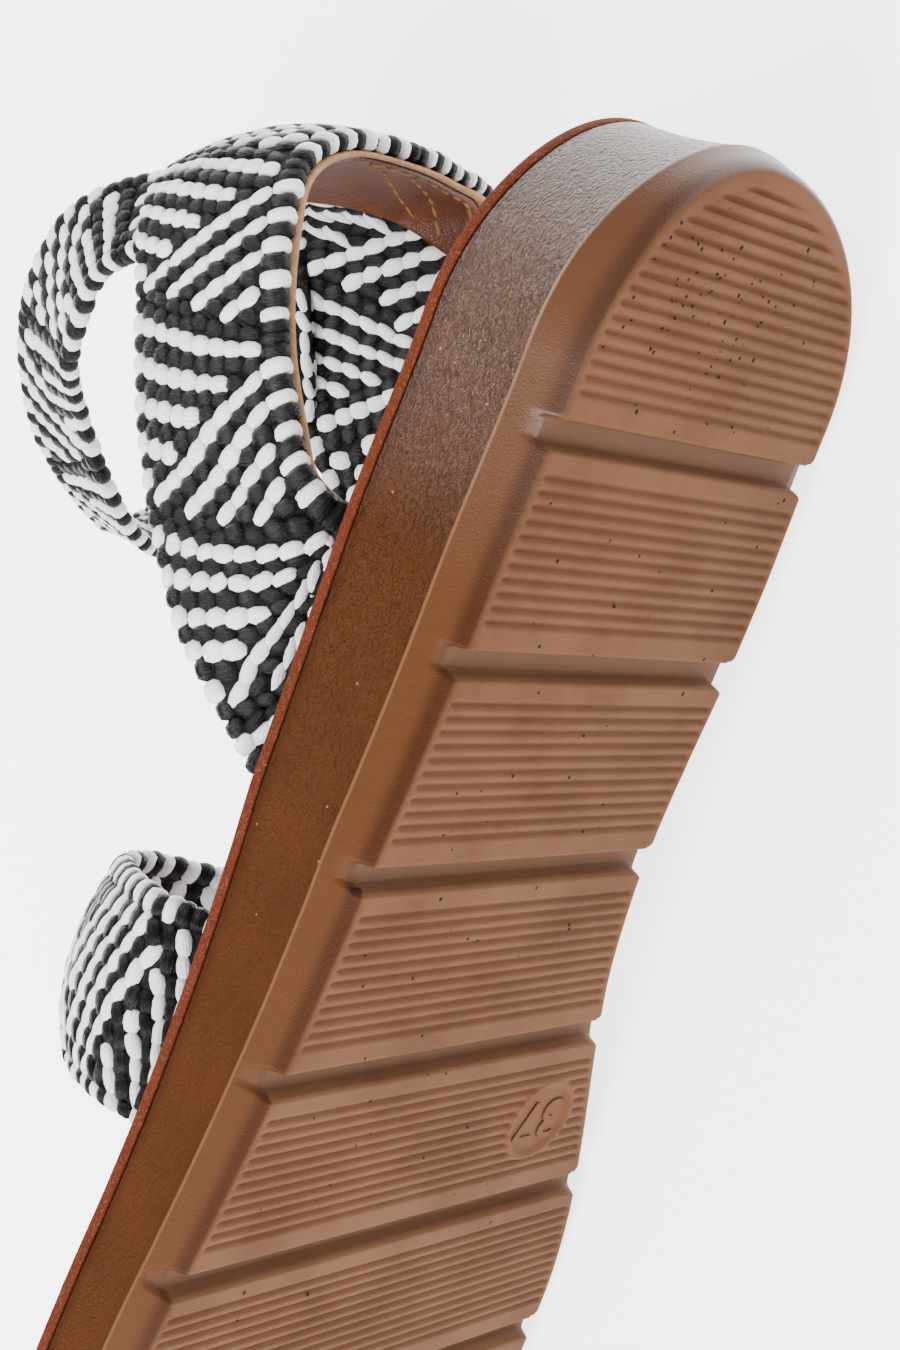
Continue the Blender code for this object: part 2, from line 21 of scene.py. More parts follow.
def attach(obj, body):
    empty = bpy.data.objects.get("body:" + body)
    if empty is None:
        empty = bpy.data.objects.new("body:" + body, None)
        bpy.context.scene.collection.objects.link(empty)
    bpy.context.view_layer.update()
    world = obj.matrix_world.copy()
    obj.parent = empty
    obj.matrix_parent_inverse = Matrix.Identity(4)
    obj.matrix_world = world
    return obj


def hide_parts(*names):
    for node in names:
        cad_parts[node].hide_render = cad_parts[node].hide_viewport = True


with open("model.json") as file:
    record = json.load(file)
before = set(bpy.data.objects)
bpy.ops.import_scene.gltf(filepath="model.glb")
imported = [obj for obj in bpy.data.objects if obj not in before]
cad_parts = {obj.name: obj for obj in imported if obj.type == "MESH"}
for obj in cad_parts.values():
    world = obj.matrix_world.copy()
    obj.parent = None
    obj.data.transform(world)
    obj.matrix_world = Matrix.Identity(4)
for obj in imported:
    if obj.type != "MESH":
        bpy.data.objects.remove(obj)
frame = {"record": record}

LOG = logging.getLogger("sandal")
MM = 0.001
Array = np.ndarray
Colour = tuple[float, float, float]


class Side(Enum):
    """Side of the foot."""

    OUTER = "outer"
    INNER = "inner"


class Face(Enum):
    """Face of a strap, with the sign of its normal."""

    OUTSIDE = 1.0
    INSIDE = -1.0


def smooth(value: Array | float, low: float, high: float) -> Array:
    """Rise from 0 to 1 between low and high, level at both ends."""
    share = np.clip((np.asarray(value, float) - low) / (high - low), 0.0, 1.0)
    return share * share * (3.0 - 2.0 * share)


def through(values: Array, position: Array) -> Array:
    """Follow the smooth curve through evenly spaced values.

    Args:
        values: One row per step, of one or more numbers.
        position: Places along the curve, counted in steps.

    Returns:
        The curve's rows at those places.
    """
    values = np.asarray(values, float)
    padded = np.concatenate([[2 * values[0] - values[1]], values, [2 * values[-1] - values[-2]]])
    last = len(values) - 1
    position = np.clip(np.asarray(position, float), 0, last)
    index = np.minimum(position.astype(int), last - 1)
    step = position - index
    if values.ndim > 1:
        step = step[..., None]
    before, start, end, after = (padded[index + shift] for shift in range(4))
    bend = before * 2 - start * 5 + end * 4 - after
    turn = start * 3 - before - end * 3 + after
    return start + ((end - before) + (bend + turn * step) * step) * (step / 2)


def unit(vectors: Array) -> Array:
    """Vectors of length one."""
    return vectors / np.maximum(np.linalg.norm(vectors, axis=-1, keepdims=True), 1e-12)


@dataclass(frozen=True)
class ShoeFrame:
    """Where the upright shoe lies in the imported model's frame."""

    origin: Array
    turn: Array

    @classmethod
    def from_record(cls, record: dict) -> "ShoeFrame":
        """Read the shoe's place from its two resting faces in the record."""
        mounts = {mount["name"]: mount for mount in record["mounts"]}
        heel = np.array(mounts["heel_rest"]["pos_m"])
        fore = np.array(mounts["forefoot_rest"]["pos_m"])
        up = -unit(np.array(mounts["heel_rest"]["axis"]))
        toe = unit(fore - heel)
        turn = np.stack([np.cross(toe, up), toe, up], axis=1)
        return cls(heel - toe * 0.020, turn)

    def place(self, points: Array) -> Array:
        """Points of the upright shoe, laid down."""
        return points @ self.turn.T + self.origin

    def point_to(self, vectors: Array) -> Array:
        """Directions of the upright shoe, laid down."""
        return vectors @ self.turn.T


@dataclass(frozen=True)
class Station:
    """Half widths of the tread at a share of its length, as shares of the width there."""

    along: float
    outer: float
    inner: float


@dataclass(frozen=True)
class Last:
    """Sizes and outline that the sole, the insole and the strap roots share."""

    tread_length: float = 0.246
    ball_width: float = 0.083
    heel_width: float = 0.0515
    heel_height: float = 0.022
    fore_height: float = 0.0145
    toe_spring: float = 0.005
    ridge_out: float = 0.0014
    ridge_heel: float = 0.0055
    ridge_fore: float = 0.0037
    wall_hollow: float = 0.0005
    wall_heel_out: float = 0.0015
    wall_fore_out: float = 0.0008
    heel_lean: float = 0.0019
    insole_thickness: float = 0.0018
    clearance: float = 0.0003
    heel_apex: float = -0.062
    toe_apex: float = 0.070
    heel_roundness: float = 2.0
    toe_roundness: float = 2.3
    wedge: tuple[float, float] = (0.20, 0.66)
    spring_start: float = 0.80
    stations: tuple[Station, ...] = (
        Station(0.110, 0.498, 0.493),
        Station(0.190, 0.508, 0.486),
        Station(0.255, 0.493, 0.450),
        Station(0.306, 0.482, 0.406),
        Station(0.345, 0.476, 0.379),
        Station(0.380, 0.464, 0.369),
        Station(0.428, 0.455, 0.374),
        Station(0.475, 0.453, 0.403),
        Station(0.520, 0.457, 0.438),
        Station(0.563, 0.466, 0.470),
        Station(0.600, 0.477, 0.495),
        Station(0.645, 0.486, 0.511),
        Station(0.690, 0.4915, 0.514),
    )

    @property
    def round_ends(self) -> tuple[float, float]:
        """Shares of the length where the heel's and the toe's round ends begin."""
        return self.stations[0].along, self.stations[-1].along

    def half_width(self, share: Array, side: Side) -> Array:
        """Distance of the tread's edge from the centre line.

        Args:
            share: Shares of the tread's length.
            side: Side of the foot.

        Returns:
            Half widths in metres.
        """
        share = np.clip(np.asarray(share, float), 0.0, 1.0)
        first, last = self.round_ends
        sign = -1.0 if side is Side.OUTER else 1.0
        inside = np.clip(share, first, last)
        along = np.array([station.along for station in self.stations])
        halves = np.array([getattr(station, side.value) for station in self.stations])
        position = np.interp(inside, along, np.arange(len(along)))
        local = self.heel_width + (self.ball_width - self.heel_width) * smooth(inside, first, last)
        half = through(halves, position) * local
        heel = sign * self.heel_apex * self.heel_width
        depth = np.clip((first - share) / first, 0.0, 1.0)
        heel_half = heel + (half - heel) * (1 - depth ** self.heel_roundness) ** (1 / self.heel_roundness)
        toe = sign * self.toe_apex * self.ball_width
        depth = np.clip((share - last) / (1 - last), 0.0, 1.0)
        toe_half = toe + (half - toe) * (1 - depth ** self.toe_roundness) ** (1 / self.toe_roundness)
        return np.where(share < first, heel_half, np.where(share > last, toe_half, half))

    def spring(self, share: Array) -> Array:
        """Lift of the toe."""
        rise = np.clip((np.asarray(share, float) - self.spring_start) / (1 - self.spring_start), 0, 1)
        return self.toe_spring * rise ** 2

    def top_height(self, share: Array) -> Array:
        """Height of the insole's top over the tread."""
        wedge = self.heel_height + (self.fore_height - self.heel_height) * smooth(share, *self.wedge)
        return wedge + self.spring(share)

    def sole_top(self, share: Array) -> Array:
        """Height of the sole's top, under the insole."""
        return self.top_height(share) - self.insole_thickness - self.clearance

    def ridge_height(self, share: Array) -> Array:
        """Height of the mould line round the side."""
        drop = smooth(share, *self.wedge)
        return self.ridge_heel + (self.ridge_fore - self.ridge_heel) * drop + self.spring(share)

    def wall_out(self, share: Array) -> Array:
        """How far the side wall's top stands outside the tread."""
        out = self.wall_heel_out + (self.wall_fore_out - self.wall_heel_out) * smooth(share, *self.wedge)
        return out - self.heel_lean * (1 - smooth(share, 0, self.round_ends[0]))

    def rows(self, heel: int, middle: int, toe: int) -> Array:
        """Shares of the length from heel to toe, closer together on the round ends."""
        first, last = self.round_ends
        back = first * (1 - np.cos(np.pi / 2 * np.arange(heel) / heel))
        waist = first + (last - first) * np.arange(middle) / middle
        front = last + (1 - last) * np.sin(np.pi / 2 * np.arange(toe + 1) / toe)
        return np.concatenate([back, waist, front])

    def edges(self, shares: Array) -> dict[Side, tuple[Array, Array]]:
        """Plan points and outward directions of the tread's two edges, heel to toe."""
        outer = np.stack([-self.half_width(shares, Side.OUTER), shares * self.tread_length], axis=1)
        inner = np.stack([self.half_width(shares, Side.INNER), shares * self.tread_length], axis=1)
        loop = np.concatenate([outer, inner[-2:0:-1]])
        run = np.roll(loop, -1, axis=0) - np.roll(loop, 1, axis=0)
        out = unit(np.stack([-run[:, 1], run[:, 0]], axis=1))
        count = len(shares)
        inner_out = np.concatenate([out[:1], out[:count - 1:-1], out[count - 1:count]])
        return {Side.OUTER: (outer, out[:count]), Side.INNER: (inner, inner_out)}

    def edge_point(self, along: float, side: Side, inset: float) -> Array:
        """Plan point inside the tread's edge by inset."""
        step = 0.002
        sign = -1.0 if side is Side.OUTER else 1.0
        rise = self.half_width(along + step, side) - self.half_width(along - step, side)
        slope = rise / (2 * step * self.tread_length)
        reach = self.half_width(along, side) - inset * np.sqrt(1 + slope * slope)
        return np.array([sign * reach, along * self.tread_length])


class Shading:
    """Node tree of one material, with short calls for the nodes that the finishes use."""

    def __init__(self, name: str, roughness: float, coat: float = 0.0, coat_roughness: float = 0.2,
                 specular: float = 0.5, sheen: float = 0.0) -> None:
        """Start a material and set the shader's even values on its own sockets."""
        self.material = bpy.data.materials.new(name)
        self.material.use_nodes = True
        self.tree = self.material.node_tree
        self.shader = self.tree.nodes["Principled BSDF"]
        values = {"Roughness": roughness, "Coat Weight": coat, "Coat Roughness": coat_roughness,
                  "Specular IOR Level": specular, "Sheen Weight": sheen, "Metallic": 0.0}
        for socket, value in values.items():
            self.shader.inputs[socket].default_value = value

    def add(self, kind: str, inputs: dict | None = None, **settings: object) -> bpy.types.Node:
        """Add a node, set its properties and fill or link its inputs."""
        node = self.tree.nodes.new(kind)
        for name, value in settings.items():
            setattr(node, name, value)
        for name, value in (inputs or {}).items():
            if isinstance(value, bpy.types.NodeSocket):
                self.tree.links.new(value, node.inputs[name])
            else:
                node.inputs[name].default_value = value
        return node

    def attribute(self, name: str, output: str = "Vector") -> bpy.types.NodeSocket:
        """Value of a mesh attribute."""
        return self.add("ShaderNodeAttribute", attribute_name=name).outputs[output]

    def stretch(self, vector: bpy.types.NodeSocket, scale: Sequence[float]) -> bpy.types.NodeSocket:
        """Vector scaled along its axes."""
        return self.add("ShaderNodeMapping", {"Vector": vector, "Scale": tuple(scale)}).outputs["Vector"]

    def noise(self, vector: bpy.types.NodeSocket, scale: float, detail: float = 3.0,
              roughness: float = 0.5, distortion: float = 0.0) -> bpy.types.NodeSocket:
        """Noise over a vector."""
        values = {"Vector": vector, "Scale": scale, "Detail": detail, "Roughness": roughness,
                  "Distortion": distortion}
        return self.add("ShaderNodeTexNoise", values).outputs["Fac"]

    def cells(self, vector: bpy.types.NodeSocket, scale: float) -> bpy.types.NodeSocket:
        """Distance from the nearest cell's middle."""
        return self.add("ShaderNodeTexVoronoi", {"Vector": vector, "Scale": scale}).outputs["Distance"]

    def span(self, value: bpy.types.NodeSocket, low: float, high: float, start: float = 0.0,
             end: float = 1.0) -> bpy.types.NodeSocket:
        """Value stretched from low and high to start and end."""
        values = {"Value": value, "From Min": low, "From Max": high, "To Min": start, "To Max": end}
        return self.add("ShaderNodeMapRange", values, interpolation_type="SMOOTHSTEP").outputs["Result"]

    def maths(self, operation: str, first: object, second: object) -> bpy.types.NodeSocket:
        """Sum, product or the like of two numbers."""
        return self.add("ShaderNodeMath", {0: first, 1: second}, operation=operation).outputs[0]

    def mix(self, share: object, first: object, second: object,
            blend: str = "MIX") -> bpy.types.NodeSocket:
        """Mix of two colours."""
        colours = [value if isinstance(value, bpy.types.NodeSocket) else (*value, 1.0)
                   for value in (first, second)]
        node = self.add("ShaderNodeMix", {0: share, 6: colours[0], 7: colours[1]},
                        data_type="RGBA", blend_type=blend)
        return node.outputs[2]

    def bump(self, height: bpy.types.NodeSocket, depth: float, strength: float = 1.0,
             under: bpy.types.NodeSocket | None = None) -> bpy.types.NodeSocket:
        """Relief from a height of 0 to 1."""
        values: dict[str, object] = {"Height": height, "Distance": depth, "Strength": strength}
        if under is not None:
            values["Normal"] = under
        return self.add("ShaderNodeBump", values).outputs["Normal"]

    def finish(self, colour: bpy.types.NodeSocket,
               normal: bpy.types.NodeSocket | None = None) -> bpy.types.Material:
        """Link the colour and the relief and return the material."""
        self.tree.links.new(colour, self.shader.inputs["Base Color"])
        if normal is not None:
            self.tree.links.new(normal, self.shader.inputs["Normal"])
            self.tree.links.new(normal, self.shader.inputs["Coat Normal"])
        return self.material


@dataclass(frozen=True)
class TreadFinish:
    """Matte moulded rubber of the ribbed tread."""

    high: Colour = (0.078, 0.0325, 0.0145)
    low: Colour = (0.058, 0.0220, 0.0085)
    floor: Colour = (0.078, 0.0400, 0.0230)
    # Painted shade: laid into the fine rib lines and onto the steep step beside the tread.
    painted_shade: Colour = (0.028, 0.0075, 0.0016)
    strip: Colour = (0.063, 0.0220, 0.0068)
    # Painted highlight: lighter colour along the mould line.
    ridge: Colour = (0.150, 0.070, 0.034)

    def material(self) -> bpy.types.Material:
        """Material that reads the place, the hollow, the rib and the strip attributes, with painted shade in
        the rib lines and on the step beside the tread and a painted highlight along the mould line.
        """
        shade = Shading("tread_rubber", 0.60, coat_roughness=0.34, specular=0.06)
        place = shade.attribute("place")
        cloud = shade.noise(place, 0.06, 4.0, 0.6)
        colour = shade.mix(shade.span(cloud, 0.35, 0.7), self.high, self.low)
        dust = shade.noise(shade.stretch(place, (0.25, 1.0, 1.0)), 1.6, 4.0, 0.65)
        colour = shade.mix(shade.span(dust, 0.50, 0.75, 0.0, 0.30), colour, self.floor)
        # Painted shade in the fine rib lines, read from the sole's rib attribute.
        rib = shade.attribute("rib_line_shade", "Fac")
        colour = shade.mix(rib, colour, self.painted_shade)
        side = shade.attribute("wall", "Fac")
        strip = shade.span(side, 0.0, 0.12)
        fade = shade.span(side, 0.12, 0.40, 1.0, 0.0)
        # Painted shade on the steep step between the ribbed tread and the smooth strip, strongest at the step
        # and fading up the strip.
        step = shade.maths("MULTIPLY", shade.span(side, 0.0, 0.12, 0.0, 0.78), fade)
        colour = shade.mix(strip, colour, self.strip)
        colour = shade.mix(step, colour, self.painted_shade)
        colour = shade.mix(shade.attribute("hollow", "Fac"), colour, self.floor)
        # Painted highlight along the mould line.
        colour = shade.mix(shade.span(side, 0.43, 0.48, 0.0, 0.7), colour, self.ridge)
        heel = shade.span(shade.attribute("heel_share", "Fac"), 1.1, 1.5)
        sheen = shade.maths("MULTIPLY", strip, heel)
        shade.tree.links.new(shade.maths("MULTIPLY", sheen, 0.55), shade.shader.inputs["Coat Weight"])
        shade.tree.links.new(shade.maths("SUBTRACT", 0.60, shade.maths("MULTIPLY", strip, 0.22)),
                             shade.shader.inputs["Roughness"])
        fine = shade.noise(place, 4.0, 3.0, 0.6)
        return shade.finish(colour, shade.bump(fine, 0.00010, 0.7))


@dataclass(frozen=True)
class WallFinish:
    """Grained side wall, wrinkled and glossy at the heel."""

    light: Colour = (0.058, 0.0165, 0.0030)
    dark: Colour = (0.050, 0.0138, 0.0022)
    speck: Colour = (0.30, 0.15, 0.07)

    def material(self) -> bpy.types.Material:
        """Material that reads the place and the heel attributes."""
        shade = Shading("grained_wall", 0.40, coat_roughness=0.30, specular=0.07)
        place = shade.attribute("place")
        heel = shade.attribute("heel_share", "Fac")
        cloud = shade.noise(place, 0.10, 3.0, 0.6)
        colour = shade.mix(shade.span(cloud, 0.35, 0.65), self.light, self.dark)
        spots = shade.cells(place, 0.28)
        colour = shade.mix(shade.span(spots, 0.03, 0.06, 0.75, 0.0), colour, self.speck)
        near_heel = shade.span(heel, 1.15, 1.5, 0.0, 0.75)
        shade.tree.links.new(near_heel, shade.shader.inputs["Coat Weight"])
        wrinkle = shade.noise(shade.stretch(place, (1.0, 0.8, 1.6)), 1.05, 2.0, 0.45, 1.6)
        grain = shade.noise(place, 2.6, 2.0, 0.5)
        folds = shade.bump(shade.maths("MULTIPLY", wrinkle, heel), 0.00070, 0.9)
        return shade.finish(colour, shade.bump(grain, 0.00028, 0.8, folds))


@dataclass(frozen=True)
class BoardFinish:
    """Tan leather board with a raw fibrous edge."""

    face: Colour = (0.115, 0.044, 0.0160)
    face_low: Colour = (0.085, 0.031, 0.0105)
    edge: Colour = (0.082, 0.0150, 0.0045)
    fibre: Colour = (0.230, 0.078, 0.038)
    line: Colour = (0.012, 0.002, 0.001)

    def material(self) -> bpy.types.Material:
        """Material that reads the place and the edge attributes."""
        shade = Shading("insole_leather", 0.72, specular=0.08)
        place = shade.attribute("place")
        rim = shade.attribute("rim", "Fac")
        under = shade.attribute("under_line", "Fac")
        fibres = shade.noise(shade.stretch(place, (1.0, 1.0, 2.2)), 2.6, 3.0, 0.7)
        raw = shade.mix(shade.span(fibres, 0.50, 0.72), self.edge, self.fibre)
        patches = shade.noise(place, 0.35, 2.0)
        raw = shade.mix(shade.span(patches, 0.4, 0.7, 0.0, 0.5), raw, self.edge)
        face = shade.mix(shade.span(patches, 0.35, 0.70), self.face, self.face_low)
        colour = shade.mix(rim, face, raw)
        colour = shade.mix(under, colour, self.line)
        return shade.finish(colour, shade.bump(fibres, 0.00025, 0.9))


@dataclass(frozen=True)
class RaffiaFinish:
    """Glossy black and white raffia strands."""

    black: Colour = (0.0035, 0.0032, 0.0030)
    black_edge: Colour = (0.012, 0.011, 0.010)
    white: Colour = (0.86, 0.86, 0.88)
    white_low: Colour = (0.70, 0.69, 0.72)

    def material(self) -> bpy.types.Material:
        """Material that reads each knot's shade and its own coordinates."""
        shade = Shading("raffia", 0.26, specular=0.13)
        strand = shade.attribute("strand")
        tone = shade.attribute("shade", "Fac")
        lot = shade.attribute("lot", "Fac")
        shifted = shade.add("ShaderNodeVectorMath", {0: strand, 1: lot}, operation="ADD").outputs[0]
        streak = shade.noise(shade.stretch(shifted, (0.5, 3.4, 1.8)), 1.7, 3.0, 0.6)
        dark = shade.mix(shade.span(streak, 0.45, 0.75), self.black, self.black_edge)
        light = shade.mix(shade.span(streak, 0.35, 0.70), self.white, self.white_low)
        return shade.finish(shade.mix(tone, dark, light), shade.bump(streak, 0.00040, 0.8))


@dataclass(frozen=True)
class LiningFinish:
    """Semi-gloss brown lining leather."""

    light: Colour = (0.085, 0.021, 0.0045)
    dark: Colour = (0.060, 0.013, 0.0025)

    def material(self) -> bpy.types.Material:
        """Material with fine pores and soft creases."""
        shade = Shading("lining_leather", 0.34, specular=0.22)
        place = shade.attribute("place")
        cloud = shade.noise(place, 0.22, 3.0, 0.6)
        pores = shade.cells(place, 2.4)
        colour = shade.mix(shade.span(cloud, 0.35, 0.65), self.light, self.dark)
        return shade.finish(colour, shade.bump(pores, 0.00012, 0.7))


@dataclass(frozen=True)
class PlainFinish:
    """Finish of a small piece, one colour with a faint unevenness."""

    name: str
    colour: Colour
    roughness: float
    variation: float = 0.25
    glow: float = 0.0

    def material(self) -> bpy.types.Material:
        """Material on Object coordinates."""
        shade = Shading(self.name, self.roughness, specular=0.12)
        coordinates = shade.add("ShaderNodeTexCoord").outputs["Object"]
        grain = shade.noise(coordinates, 900.0, 2.0)
        low = tuple(value * (1 - self.variation) for value in self.colour)
        colour = shade.mix(shade.span(grain, 0.35, 0.65), self.colour, low)
        shade.shader.inputs["Emission Color"].default_value = (1.0, 1.0, 1.0, 1.0)
        shade.shader.inputs["Emission Strength"].default_value = self.glow
        return shade.finish(colour, shade.bump(grain, 0.00008, 0.5))


def mesh_from_grid(name: str, points: Array, wrap: bool, attributes: dict[str, Array],
                   caps: bool = False) -> bpy.types.Mesh:
    """Make a mesh from rows of points.

    Args:
        name: Name of the mesh.
        points: Rows by columns by 3, laid down.
        wrap: Whether each row is a closed loop.
        attributes: Numbers or vectors for each point, by name.
        caps: Whether the first and last rows are closed with one face each.

    Returns:
        A mesh whose faces point outwards.
    """
    rows, columns = points.shape[:2]
    index = np.arange(rows * columns).reshape(rows, columns)
    after = np.roll(index, -1, axis=1) if wrap else index[:, 1:]
    here = index if wrap else index[:, :-1]
    quads = np.stack([here[:-1], after[:-1], after[1:], here[1:]], axis=-1).reshape(-1, 4)
    faces = quads.tolist()
    if caps:
        faces += [index[0].tolist()[::-1], index[-1].tolist()]
    mesh = bpy.data.meshes.new(name)
    mesh.from_pydata(points.reshape(-1, 3).tolist(), [], faces)
    for key, values in attributes.items():
        kind = "FLOAT_VECTOR" if values.ndim == 3 else "FLOAT"
        layer = mesh.attributes.new(key, kind, "POINT")
        layer.data.foreach_set("vector" if values.ndim == 3 else "value",
                               np.ascontiguousarray(values, dtype=np.float32).ravel())
    bm = bmesh.new()
    bm.from_mesh(mesh)
    bmesh.ops.remove_doubles(bm, verts=bm.verts, dist=1e-6)
    bmesh.ops.recalc_face_normals(bm, faces=bm.faces)
    bm.to_mesh(mesh)
    bm.free()
    mesh.shade_smooth()
    return mesh


def new_piece(name: str, mesh: bpy.types.Mesh, materials: Sequence[bpy.types.Material],
              replaced: Sequence[str] = ()) -> bpy.types.Object:
    """Link a finished mesh as a piece of the sandal.

    Args:
        name: Name of the piece.
        mesh: Its mesh, laid down.
        materials: Its materials, in the order of their indices.
        replaced: CAD nodes that it stands for.

    Returns:
        The piece.
    """
    piece = bpy.data.objects.new(name, mesh)
    bpy.context.scene.collection.objects.link(piece)
    for material in materials:
        if material.name not in mesh.materials:
            mesh.materials.append(material)
    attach(piece, "root")
    if replaced:
        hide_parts(*replaced)
    mesh.calc_loop_triangles()
    LOG.info("%s: %d triangles", name, len(mesh.loop_triangles))
    return piece


@dataclass
class Knots:
    """Places, directions, sizes and shades of many small woven knots or stitches."""

    points: list[Array] = field(default_factory=list)
    out: list[Array] = field(default_factory=list)
    along: list[Array] = field(default_factory=list)
    size: list[Array] = field(default_factory=list)
    shade: list[Array] = field(default_factory=list)

    def add(self, points: Array, out: Array, along: Array, size: Array, shade: Array) -> None:
        """Add knots, one row each."""
        self.points.append(points)
        self.out.append(out)
        self.along.append(along)
        self.size.append(size)
        self.shade.append(shade)

    def carrier(self, name: str, place: ShoeFrame) -> bpy.types.Object:
        """Object with one loose vertex for each knot, laid down."""
        points = place.place(np.concatenate(self.points))
        mesh = bpy.data.meshes.new(name)
        mesh.from_pydata(points.tolist(), [], [])
        vectors = {"out": place.point_to(np.concatenate(self.out)),
                   "along": place.point_to(np.concatenate(self.along)),
                   "size": np.concatenate(self.size)}
        for key, values in vectors.items():
            layer = mesh.attributes.new(key, "FLOAT_VECTOR", "POINT")
            layer.data.foreach_set("vector", values.astype(np.float32).ravel())
        layer = mesh.attributes.new("shade", "FLOAT", "POINT")
        layer.data.foreach_set("value", np.concatenate(self.shade).astype(np.float32))
        carrier = bpy.data.objects.new(name, mesh)
        bpy.context.scene.collection.objects.link(carrier)
        return carrier


@dataclass
class KnotTree:
    """Geometry nodes that set a soft cushion on every point of a carrier."""

    name: str = "woven_knots"
    segments: int = 10
    rings: int = 6
    fullness: float = 0.36
    length: float = 1.0
    width: float = 1.0
    height: float = 1.0
    unevenness: float = 0.08
    seed: int = 11

    def build(self) -> bpy.types.NodeTree:
        """Make the node tree with its named inputs."""
        tree = bpy.data.node_groups.new(self.name, "GeometryNodeTree")
        tree.is_modifier = True
        for label, kind in (("Geometry", "NodeSocketGeometry"), ("Length", "NodeSocketFloat"),
                            ("Width", "NodeSocketFloat"), ("Height", "NodeSocketFloat"),
                            ("Fullness", "NodeSocketFloat"), ("Unevenness", "NodeSocketFloat"),
                            ("Seed", "NodeSocketInt"), ("Material", "NodeSocketMaterial")):
            tree.interface.new_socket(name=label, in_out="INPUT", socket_type=kind)
        tree.interface.new_socket(name="Geometry", in_out="OUTPUT", socket_type="NodeSocketGeometry")
        group = tree.nodes.new("NodeGroupInput").outputs

        def add(kind: str, inputs: dict, output: int | str = 0, **settings: object) -> bpy.types.NodeSocket:
            """Add a node, link its inputs and return one output."""
            node = tree.nodes.new(kind)
            for key, value in settings.items():
                setattr(node, key, value)
            for key, value in inputs.items():
                if isinstance(value, bpy.types.NodeSocket):
                    tree.links.new(value, node.inputs[key])
                else:
                    node.inputs[key].default_value = value
            return node.outputs[output]

        def named(key: str, kind: str = "FLOAT_VECTOR") -> bpy.types.NodeSocket:
            """Read an attribute of the carrier."""
            return add("GeometryNodeInputNamedAttribute", {"Name": key}, "Attribute", data_type=kind)

        ball = add("GeometryNodeMeshUVSphere",
                   {"Segments": self.segments, "Rings": self.rings, "Radius": 1.0}, "Mesh")
        spot = add("GeometryNodeInputPosition", {})
        ball = add("GeometryNodeStoreNamedAttribute", {"Geometry": ball, "Name": "strand", "Value": spot},
                   data_type="FLOAT_VECTOR", domain="POINT")
        size = add("ShaderNodeVectorMath", {0: spot}, operation="ABSOLUTE")
        parts = tree.nodes.new("ShaderNodeSeparateXYZ")
        tree.links.new(size, parts.inputs[0])
        widest = add("ShaderNodeMath", {0: parts.outputs[0], 1: parts.outputs[1]}, operation="MAXIMUM")
        widest = add("ShaderNodeMath", {0: widest, 1: parts.outputs[2]}, operation="MAXIMUM")
        power = add("ShaderNodeMath", {0: group["Fullness"], 1: -1.0}, operation="MULTIPLY")
        swell = add("ShaderNodeMath", {0: widest, 1: power}, operation="POWER")
        cushion = add("ShaderNodeVectorMath", {0: spot, "Scale": swell}, operation="SCALE")
        ball = add("GeometryNodeSetPosition", {"Geometry": ball, "Position": cushion})
        turn = add("FunctionNodeAlignRotationToVector", {"Vector": named("out")}, axis="Z")
        turn = add("FunctionNodeAlignRotationToVector", {"Rotation": turn, "Vector": named("along")},
                   axis="X", pivot_axis="Z")
        scale = add("ShaderNodeCombineXYZ", {0: group["Length"], 1: group["Width"], 2: group["Height"]})
        scale = add("ShaderNodeVectorMath", {0: scale, 1: named("size")}, operation="MULTIPLY")
        less = add("ShaderNodeMath", {0: 1.0, 1: group["Unevenness"]}, operation="SUBTRACT")
        more = add("ShaderNodeMath", {0: 1.0, 1: group["Unevenness"]}, operation="ADD")
        chance = add("FunctionNodeRandomValue", {0: less, 1: more, "Seed": group["Seed"]},
                     data_type="FLOAT_VECTOR")
        scale = add("ShaderNodeVectorMath", {0: scale, 1: chance}, operation="MULTIPLY")
        points = add("GeometryNodeStoreNamedAttribute",
                     {"Geometry": group["Geometry"], "Name": "lot",
                      "Value": add("FunctionNodeRandomValue", {2: 0.0, 3: 40.0, "Seed": group["Seed"]},
                                   1, data_type="FLOAT")},
                     data_type="FLOAT", domain="POINT")
        knots = add("GeometryNodeInstanceOnPoints",
                    {"Points": points, "Instance": ball, "Rotation": turn, "Scale": scale})
        knots = add("GeometryNodeRealizeInstances", {"Geometry": knots})
        knots = add("GeometryNodeSetShadeSmooth", {"Geometry": knots})
        knots = add("GeometryNodeSetMaterial", {"Geometry": knots, "Material": group["Material"]})
        tree.links.new(knots, tree.nodes.new("NodeGroupOutput").inputs[0])
        return tree

    def grow(self, carrier: bpy.types.Object, material: bpy.types.Material) -> bpy.types.Mesh:
        """Set a cushion on every point of a carrier and take the result as a plain mesh.

        Args:
            carrier: Object with loose vertices and their attributes, removed afterwards.
            material: Material of the cushions.

        Returns:
            The joined mesh.
        """
        tree = self.build()
        modifier = carrier.modifiers.new("knots", "NODES")
        modifier.node_group = tree
        values = {"Length": self.length, "Width": self.width, "Height": self.height,
                  "Fullness": self.fullness, "Unevenness": self.unevenness, "Seed": self.seed,
                  "Material": material}
        for socket in tree.interface.items_tree:
            if socket.in_out == "INPUT" and socket.name in values:
                modifier[socket.identifier] = values[socket.name]
        graph = bpy.context.evaluated_depsgraph_get()
        mesh = bpy.data.meshes.new_from_object(carrier.evaluated_get(graph), depsgraph=graph)
        carrier.modifiers.remove(modifier)
        bpy.data.objects.remove(carrier, do_unlink=True)
        return mesh


